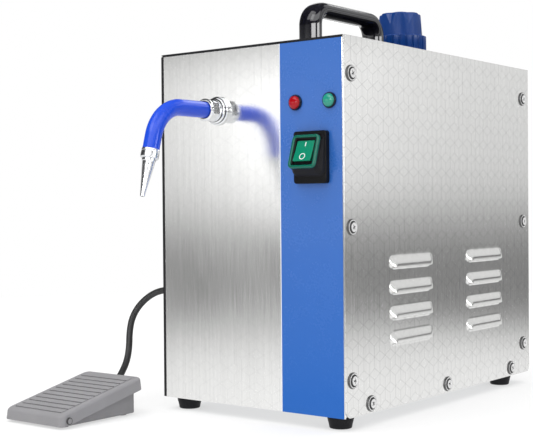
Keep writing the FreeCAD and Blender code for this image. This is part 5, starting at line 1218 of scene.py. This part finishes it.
# ---------------- nozzle
class STEAM_OT_nozzle(bpy.types.Operator):
    """Wall union, blue sleeve, collar and tip"""
    bl_idname = "steam_cleaner.nozzle"
    bl_label = "Steam nozzle"

    def execute(self, context):
        sizes = values("nozzle")
        wall, low = middle("nozzle_union", y=SKIN_LOW.y), box("nozzle_union")[0]
        reach, barrel = wall.y - low.y, 10.9
        bm = spin([
            (8.1, reach - 8, 0), (8.1, reach, 0.3), (9.6, reach, 0.5), (barrel, reach - 1.5, 0.5),
            (barrel, reach - 3.0, 0.2), (9.2, reach - 3.2, 0.1), (9.2, 8.4, 0.1),
            (barrel, 8.2, 0.2), (barrel, 7.4, 0.2), (10.2, 7.2, 0.1), (10.2, 6.6, 0.1),
            (12.6, 6.3, 0.6), (12.6, 4.2, 0.6), (11.6, 3.9, 0.1), (11.6, 3.3, 0.1),
            (14.0, 3.0, 0.7), (14.0, 0.5, 0.3), (13.4, 0.0, 0), (8.1, 0.0, 0)], wall, -Y, 96)
        bridge([ring(wall - Y * lift, -Y, barrel + 0.1 - inset, 6, radians(39)) for lift, inset in (
            (8.6, 0.9), (9.2, 0.0), (reach - 4.0, 0.0), (reach - 3.4, 0.9))], bm)

        def clean(place):
            """Painted shade darkens the grooves and the mouth."""
            distance, radius = wall.y - place.y, (place - wall).xz.length
            return float(radius >= 8.5 and not (radius < 11.7 and 3.1 < distance < 4.1)
                         and not (radius < 10.5 and 6.5 < distance < 7.3))
        show("union", paint_shade(solid("union", bm), clean), "union", "chrome_plate", "nozzle_union", 32)
        self.arm(sizes, wall, wall - Y * (reach - 7.5))
        return {"FINISHED"}

    def arm(self, sizes, wall, start):
        """The sleeve from its start in the union round its bend, then collar and tip."""
        enter = wall - Y * sizes.straight
        centre = enter - Z * sizes.bend
        path = [(start.lerp(enter, step / 8), X, -Y, 1.0) for step in range(9)]
        for step in range(1, 33):
            turn = sizes.turn * step / 32
            heading = Vector((0, -cos(turn), -sin(turn)))
            path.append((centre + Vector((0, -sin(turn), cos(turn))) * sizes.bend, X, heading,
                         1.0))
        leave = path[-1][0]
        path += [(leave + heading * sizes.tail * step / 4, X, heading, 1.0)
                 for step in range(1, 5)]
        end = path[-1][0]
        show("sleeve", swept(path, circle(sizes.hose, 48)), "hose", "hose_blue", "nozzle_hose",
             40, "nozzle_arm")
        r, long = sizes.collar, sizes.collar_long
        collar = spin([(5.0, -0.4, 0), (r - 0.1, -0.4, 0.5), (r, 1.6, 0.3), (r - 0.35, 1.9, 0.1),
                       (r - 0.35, 2.4, 0.1), (r, 2.7, 0.3), (r, long - 0.9, 0.5),
                       (r - 0.9, long, 0.4), (5.0, long, 0)], end, heading, 64, 4)
        show("collar", collar, "chrome", "chrome_plate", "nozzle_collar", 32, "nozzle_arm")
        base, mouth, long = sizes.tip_base, sizes.tip_end, sizes.tip_long
        tip = spin([(0.0, 0.0, 0), (base, 0.0, 0.2), (base, 2.4, 0.4), (base - 0.5, 3.0, 0.3),
                    (mouth, long - 0.3, 0.3), (mouth - 0.4, long, 0.1), (1.2, long, 0.1),
                    (1.1, long - 6.0, 0), (0.0, long - 6.5, 0)],
                   end + heading * sizes.collar_long, heading, 56, 4, False)
        show("tip", tip, "chrome", "chrome_plate", "nozzle_tip", 32, "nozzle_arm")


# ---------------- lamps and switch
class STEAM_OT_lamps(bpy.types.Operator):
    """Red and green pilot lamps in their bezels"""
    bl_idname = "steam_cleaner.lamps"
    bl_label = "Pilot lamps"

    def execute(self, context):
        sizes = values("switch")
        r, lens, foot, rise = sizes.lamp, sizes.lens, 1.9, 3.2
        rings = bmesh.new()
        for word in ("red", "green"):
            spot = middle(word + "_lamp_lens", y=box("blue_stripe")[0].y)
            spin([(lens - 0.8, 0.0, 0), (r, 0.0, 0.2), (r, 1.2, 0.6), (lens + 0.5, 2.6, 0.4),
                  (lens - 0.1, 2.3, 0.2), (lens - 0.8, 1.2, 0)], spot, -Y, bm=rings)
            arc = [pi / 2 * step / 9 for step in range(1, 9)]
            dome = [(0.0, 0.4), (lens, 0.4), (lens, foot)]
            dome += [(lens * cos(turn) ** 0.8, foot + rise * sin(turn)) for turn in arc]
            show(word + "_lens", turned(dome + [(0.0, foot + rise)], spot, -Y, 48, False), word,
                 word + "_lens", word + "_lamp_lens", 40)
        show("lamp_rings", rings, "lamp_ring", "chrome_plate", "lamp_bezels", 32)
        return {"FINISHED"}


class STEAM_OT_power_switch(bpy.types.Operator):
    """Rocker switch: base plate, rubber boot, green bezel, well and rocker"""
    bl_idname = "steam_cleaner.power_switch"
    bl_label = "Power switch"

    def execute(self, context):
        sizes = values("switch")
        foot = middle("switch_housing", y=box("blue_stripe")[0].y,
                      z=box("switch_housing")[0].z + sizes.base_tall / 2)
        v, n = self.leaning(sizes.tilt)
        origin = middle("switch_bezel", x=foot.x) + n * (sizes.bezel_gauge / 2)

        def upright(across, up, lift):
            return foot + X * across - Y * lift + Z * up

        def tilted(across, up, lift):
            return origin + X * across + v * up + n * lift
        self.housing(sizes, foot, upright, tilted)
        self.frames(sizes, tilted)
        self.rocker(sizes, origin - n * 6.0)
        return {"FINISHED"}

    def leaning(self, turn):
        """Up and outwards on a face that leans back by an angle."""
        return Vector((0.0, sin(turn), cos(turn))), Vector((0.0, -cos(turn), sin(turn)))

    def housing(self, sizes, foot, upright, tilted):
        """Base plate, and the boot: a lip behind the bezel, a waist, a rolled ridge, a skirt."""
        w, t, g = sizes.base_wide, sizes.base_tall, sizes.base_gauge
        show("switch_plate", bridge(stacked(upright, [
            (w - 2 * inset, t - 2 * inset, 2.6 - inset, lift) for inset, lift in (
                (0.0, 0.0), (0.0, g - 1.0), (0.3, g - 0.4), (1.0, g))], 5)),
            "switch_black", "black_gloss", "switch_housing", 35)
        loops = stacked(tilted, [
            (sizes.bezel_wide + grow, sizes.bezel_tall + grow, radius, -sizes.bezel_gauge - drop)
            for grow, radius, drop in ((-6.0, 3.0, 0.1), (-0.8, 4.2, 0.05), (0.3, 4.6, 0.6),
                                       (0.3, 4.6, 1.5), (-0.9, 4.2, 2.2), (-1.4, 4.2, 3.0))], 6)
        waist = loops[-1]
        skirt = [upright(p.x, p.y + 2.2, g - 0.2) for p in rectangle(34.6, 41.0, 5.0)]
        for share, swell in ((0.25, 0.5), (0.45, 1.1), (0.58, 1.35), (0.66, 0.85), (0.8, 0.35),
                             (1.0, 0.0)):
            loop = [near.lerp(far, share) for near, far in zip(waist, skirt)]
            loops.append([point + Vector((point.x - foot.x, 0.0, point.z - foot.z - 2)
                                         ).normalized() * swell for point in loop])
        show("switch_boot", bridge(loops), "rubber", "black_gloss", "switch_housing", 60)

    def frames(self, sizes, tilted):
        """The bezel, and the black frame inside it, open in front round the rocker."""
        w, t, g = sizes.open_wide, sizes.open_tall, sizes.bezel_gauge
        show("switch_rim", bridge(stacked(tilted, [
            (sizes.bezel_wide * share + w * (1 - share),
             sizes.bezel_tall * share + t * (1 - share), 4.4 * share + 1.6 * (1 - share), lift)
            for share, lift in ((0.0, -g), (0.0, -0.9), (0.1, -0.35), (0.25, -0.05), (0.45, 0.0),
                                (0.75, -0.1), (0.9, -0.45), (0.98, -1.0), (1.0, -1.6),
                                (1.0, -g))], 7), hoop=True),
            "bezel", "switch_green", "switch_bezel", 40)
        rw, rt = sizes.rocker_wide + 0.9, sizes.rocker_tall + 1.6
        show("switch_well", bridge(stacked(tilted, (
            (w - 0.02, t - 0.02, 1.6, -6.0), (w - 0.02, t - 0.02, 1.6, -1.0),
            (w - 0.8, t - 0.8, 1.5, -0.55), (rw + 0.6, rt + 0.6, 1.0, -1.1),
            (rw, rt, 0.8, -1.7), (rw, rt, 0.8, -9.0)), 4)),
            "switch_black", "black_plastic", "switch_body", 35)

    def rocker(self, sizes, pivot):
        """The lit rocker with its on and off marks, upper end pressed in at rest."""
        v, n = self.leaning(sizes.tilt + sizes.swing)
        half, wide, face, dip = sizes.rocker_tall / 2, sizes.rocker_wide / 2, 5.2, 0.35
        foot, depth = 6.5, 5.4

        def place(across, up, lift):
            return pivot + X * across + v * up + n * lift

        def mark(across, up, lift):
            """A place on the dished face."""
            return place(across, up, face + 0.01 + lift - 0.33 * (1 - min(1.0, abs(up) / half)))
        outline = rounded([(-half, face, 0.9), (0.0, face - dip, 6), (half, face, 0.9),
                           (foot, -depth, 1.0), (-foot, -depth, 1.0)], 6)
        loops = []
        for across, inset in ((-wide, 0.5), (-wide + 0.15, 0.15), (-wide + 0.5, 0.0),
                              (wide - 0.5, 0.0), (wide - 0.15, 0.15), (wide, 0.5)):
            arms = [Vector((p.x, p.y - 0.5)) for p in outline]
            arms = [arm * (1 - inset / max(arm.length, 1)) for arm in arms]
            loops.append([place(across, arm.x, arm.y + 0.5) for arm in arms])
        show("rocker_cap", bridge(loops), "rocker", "rocker_green", "switch_rocker", 40, "rocker")
        under, over = -0.05, 0.06
        marks = bridge([[mark(p.x + 0.35, p.y + 6.5, lift) for p in rectangle(0.95, 4.2, 0.4, 3)]
                        for lift in (under, over)])
        bridge([[mark(p.x, p.y - 5.9, lift) for p in circle(radius, 40)] for radius, lift in (
            (2.45, under), (2.45, over), (3.2, over), (3.2, under))], marks, hoop=True)
        show("rocker_marks", marks, "mark", "rocker_green", None, 40, "rocker")


# ---------------- pedal
class STEAM_OT_pedal(bpy.types.Operator):
    """Treadle with its ribs, the base under it, axle and pads"""
    bl_idname = "steam_cleaner.pedal"
    bl_label = "Foot pedal"

    # the bright front panel doesn't mirror the pedal
    UNMIRRORED = ("treadle", "tread_ribs", "pedal_tray", "pedal_feet", "axle_pin", "cord_relief")
    UNMIRRORED_NODES = ("pedal_microswitch", "pedal_switch_plunger")

    def execute(self, context):
        sizes = values("pedal")
        self.toe = middle("pedal_plate", y=box("pedal_plate")[0].y, z=0.0)
        self.slope = (sizes.back - sizes.front) / sizes.long
        self.treadle(sizes)
        self.ribs(sizes)
        self.tray(sizes)
        self.pads()
        self.axle()
        for piece in ([bpy.data.objects[name] for name in self.UNMIRRORED]
                      + [NODES[node] for node in self.UNMIRRORED_NODES]):
            piece.visible_glossy = False
        return {"FINISHED"}

    def loops(self, wide, long, corner, steps, front, rows):
        """A rounded plan drawn in by each row's inset, at the row's height(y)."""
        plan = dense(rectangle(wide, long, corner, steps), 5)
        made = []
        for inset, height in rows:
            loop = []
            for p in plan:
                y = p.y * (1 - 2 * inset / long) + long / 2
                loop.append(Vector((self.toe.x + p.x * (1 - 2 * inset / wide), front + y,
                                    height(y))))
            made.append(loop)
        return bridge(made)

    def treadle(self, sizes):
        """The hollow treadle, with a notch round the cord's relief in its back."""
        r, wall, draft, toe = sizes.round, sizes.wall, 0.7, 7.5

        def top(y, drop=0.0):
            return sizes.front + self.slope * y - drop

        def hem(y, lift=0.0):
            """The lower edge: level at the toe, then rising to the back."""
            rise = sizes.back - sizes.skirt - sizes.hem
            return sizes.hem + rise * max(0.0, y - toe) / (sizes.long - toe) + lift
        rows = []
        for step in range(6):
            turn = pi / 2 * step / 5
            rows.append((draft + r * (1 - sin(turn)),
                         lambda y, drop=r * (1 - cos(turn)): top(y, drop)))
        rows += [(0.0, lambda y: hem(y, 0.5)), (0.15, lambda y: hem(y, 0.1)), (0.5, hem),
                 (wall, hem), (wall, lambda y: max(hem(y, 0.2), top(y, 2.6)))]
        bm = self.loops(sizes.wide, sizes.long, sizes.corner, 7, self.toe.y, rows)
        low, high = box("strain_relief")
        half, height = (high.z - low.z) / 2 + 1.0, (high.z + low.z) / 2 + 15.5
        outline = rounded([(-half, -20, 0), (half, -20, 0), (half, height, 5),
                           (-half, height, 5)], 8)
        notch = bridge([[Vector(((low.x + high.x) / 2 + p.x, self.toe.y + y, p.y))
                         for p in outline] for y in (sizes.long - 2 * wall, sizes.long + wall)])
        show("treadle", opened("treadle", bm, notch), "treadle", "pedal_grey", "pedal_plate", 30,
             "treadle")

    def ribs(self, sizes):
        """Tread ribs across the sloping face, laid out by a tree."""
        form = Form("Tread ribs", Rib="Object", Count="Int", Start="Vector", Step="Vector")
        form.end(form.copies(form.out("GeometryNodeMeshLine", {
            "Count": form.Count, "Start Location": form.Start, "Offset": form.Step},
            mode="OFFSET"), form.Rib))
        first = sizes.margin - 1.0
        pitch = (sizes.long - sizes.margin - first) / sizes.ribs
        deep, rise, floor = (pitch - sizes.rib_gap) / 2, sizes.rib_rise, 0.05
        reach = deep + sizes.rib_gap * 0.42
        slope = atan(self.slope)
        along, normal = Vector((0, cos(slope), sin(slope))), Vector((0, -sin(slope), cos(slope)))
        profile = rounded([(-reach, -0.3, 0), (-reach, floor, 0), (-deep, floor, 0),
                           (-deep, rise, 0.45), (deep, rise * 0.7, 0.35), (deep, floor, 0),
                           (reach, floor, 0), (reach, -0.3, 0)], 4)
        half = sizes.wide / 2 - sizes.margin
        blank = solid("rib", bridge([
            [X * x + along * p.x * (0.97 + 0.03 * share)
             + normal * (p.y * share if p.y > 0 else p.y) for p in profile]
            for x, share in ((-half, 0.3), (-half + 0.25, 0.8), (-half + 0.8, 1.0),
                             (half - 0.8, 1.0), (half - 0.25, 0.8), (half, 0.3))]))
        # painted shade: each rib's foot is darkened, in the grooves between the ribs
        rib = bpy.data.objects.new("rib", paint_shade(blank, lambda place: float(
            place.dot(normal) > 2 * floor)))
        start = first + pitch / 2
        mesh = form.grow("tread_ribs", bpy.data.meshes.new("rib_seat"), Rib=rib,
                         Count=sizes.ribs, Start=self.toe + Vector(
                             (0.0, start, sizes.front + self.slope * start)),
                         Step=along * (pitch / cos(slope)), Material=FINISH["ribs"])
        bpy.data.objects.remove(rib)
        show("tread_ribs", mesh, "ribs", "pedal_grey", None, 35, "treadle")

    def tray(self, sizes):
        """The wedge-shaped tray under the treadle."""
        low, high = box("pedal_base")
        wide, long, wall, toe = high.x - low.x, high.y - low.y, sizes.wall, 10.5
        pivot = 16.0 - (low.y - self.toe.y)

        def rim(y, drop=0.0):
            return toe + (high.z - toe) * max(0.0, y - pivot) / (long - pivot) - drop
        bm = self.loops(wide, long, 3.5, 5, low.y, (
            (1.0, lambda y: low.z), (0.3, lambda y: low.z + 0.3), (0.0, lambda y: low.z + 1.0),
            (0.0, lambda y: rim(y, 0.4)), (0.4, rim), (wall, rim), (wall, lambda y: low.z + 2.5)))
        show("pedal_tray", bm, "pedal_dark", "pedal_dark", "pedal_base", 35)

    def pads(self):
        low, high = box("pedal_pads")
        bm, r, tall = bmesh.new(), 6.0, high.z - low.z
        for x in (low.x + r, high.x - r):
            for y in (low.y + r, high.y - r):
                spin([(0.0, 0.0, 0), (r, 0.0, 0.4), (r, tall, 0), (0.0, tall, 0)],
                     Vector((x, y, low.z)), Z, 32, 3, False, bm)
        show("pedal_feet", bm, "rubber", "black_rubber", "pedal_pads", 40)

    def axle(self):
        """The hinge pin with a dished head at both ends."""
        low, high = box("pedal_axle")
        centre, span, r = middle("pedal_axle", x=low.x), high.x - low.x, 3.6
        left = rounded([(0.0, 0.35, 0), (1.6, 0.35, 0.2), (2.0, 0.0, 0.2), (r - 0.4, 0.0, 0.4),
                        (r, 1.2, 0.1), (2.0, 1.3, 0)], 4, closed=False)
        right = [(radius, span - distance) for radius, distance in reversed(left)]
        pin = solid("axle_pin", turned(left + right, centre, X, 40, False))
        # painted shade: a dark ring round the rim of each head
        show("axle_pin", paint_shade(pin, lambda place: float((place - centre).yz.length < r - 1.1)),
             "pin", "spring_steel", "pedal_axle", 35)


# ---------------- springs and plain parts
class STEAM_OT_springs(bpy.types.Operator):
    """Coil springs of the pedal and the safety valve"""
    bl_idname = "steam_cleaner.springs"
    bl_label = "Coil springs"

    def execute(self, context):
        self.coil("return_spring", "pedal_spring", 0.6, 5, "pedal_press", 5.4, False)
        bpy.data.objects["return_spring"].visible_glossy = False
        self.coil("valve_spring", "safety_valve_spring", 0.5, 6, "safety_lift", 2.0, True)
        return {"FINISHED"}

    def coil(self, name, node, wire, turns, joint, travel, hangs):
        """A round-wire coil in a node's box; its joint and travel are not used."""
        low, high = box(node)
        axis, steps = middle(node, z=0.0), 32
        radius, tall = (high.x - low.x) / 2 - wire, high.z - low.z
        rise, path = tall - 2 * wire, []
        for step in range(turns * steps + 1):
            angle = 2 * pi * step / steps
            radial = Vector((cos(angle), sin(angle), 0.0))
            along = Vector((-radial.y * radius, radial.x * radius, rise / (2 * pi * turns)))
            height = low.z + wire + rise * step / (turns * steps)
            path.append((axis + radial * radius + Z * height, radial, -along.normalized(), 1.0))
        piece = show(name, swept(path, circle(wire, 12)), "spring", "spring_steel", node, 50)
        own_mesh(piece)


class STEAM_OT_inner_parts(bpy.types.Operator):
    """Finishes for the plain parts that keep their own shape"""
    bl_idname = "steam_cleaner.inner_parts"
    bl_label = "Inner and rear parts"

    KINDS = {
        "galvanised": ("base_pan", "boiler_stand"),
        "nickel": ("chassis_screws", "drain_ball"),
        "boiler": ("boiler_tank", "heater_flange", "heater_element", "steam_pipe",
                   "nozzle_pipe", "drain_pipe"),
        "wrap": ("insulation_jacket",),
        "brass": ("filler_neck", "safety_valve_body", "solenoid_body", "panel_nuts", "cap_plug",
                  "inlet_pins", "drain_valve_body"),
        "switch_black": ("pressure_switch", "solenoid_coil", "power_inlet", "terminal_block",
                         "heater_relay", "pedal_microswitch"),
        "spring": ("safety_valve_poppet", "solenoid_plunger"),
        "silicone": ("cap_gasket",),
        "grip": ("drain_lever", "pedal_switch_plunger"),
    }

    def execute(self, context):
        for finish, nodes in self.KINDS.items():
            for materials in (NODES[node].data.materials for node in nodes):
                if not materials:
                    materials.append(FINISH[finish])
                for index in range(len(materials)):
                    materials[index] = FINISH[finish]
        return {"FINISHED"}


class STEAM_PT_panel(bpy.types.Panel):
    """Sizes, colours and steps of the steam cleaner"""
    bl_label = "Steam cleaner"
    bl_idname = "STEAM_PT_panel"
    bl_space_type = "VIEW_3D"
    bl_region_type = "UI"
    bl_category = "Steam cleaner"

    def draw(self, context):
        for step in STEPS:
            self.layout.operator(step.bl_idname)
        for name in GROUPS:
            group = getattr(context.scene.steam_cleaner, name)
            rows = self.layout.box()
            rows.label(text=name.title())
            for key in group.__annotations__:
                rows.prop(group, key)


STEPS = (STEAM_OT_stage, STEAM_OT_cord, STEAM_OT_side_sheets, STEAM_OT_skins, STEAM_OT_fixings,
         STEAM_OT_feet, STEAM_OT_handle, STEAM_OT_cap, STEAM_OT_nozzle, STEAM_OT_lamps,
         STEAM_OT_power_switch, STEAM_OT_pedal, STEAM_OT_springs, STEAM_OT_inner_parts)
CLASSES = (*GROUPS.values(), SteamCleanerSettings, *STEPS, STEAM_PT_panel)


def register():
    for cls in CLASSES:
        bpy.utils.register_class(cls)
    bpy.types.Scene.steam_cleaner = PointerProperty(type=SteamCleanerSettings)


def unregister():
    del bpy.types.Scene.steam_cleaner
    for cls in reversed(CLASSES):
        bpy.utils.unregister_class(cls)


def main():
    register()
    make_finishes()
    for step in STEPS:
        group, name = step.bl_idname.split(".")
        getattr(getattr(bpy.ops, group), name)()


if __name__ == "__main__":
    main()
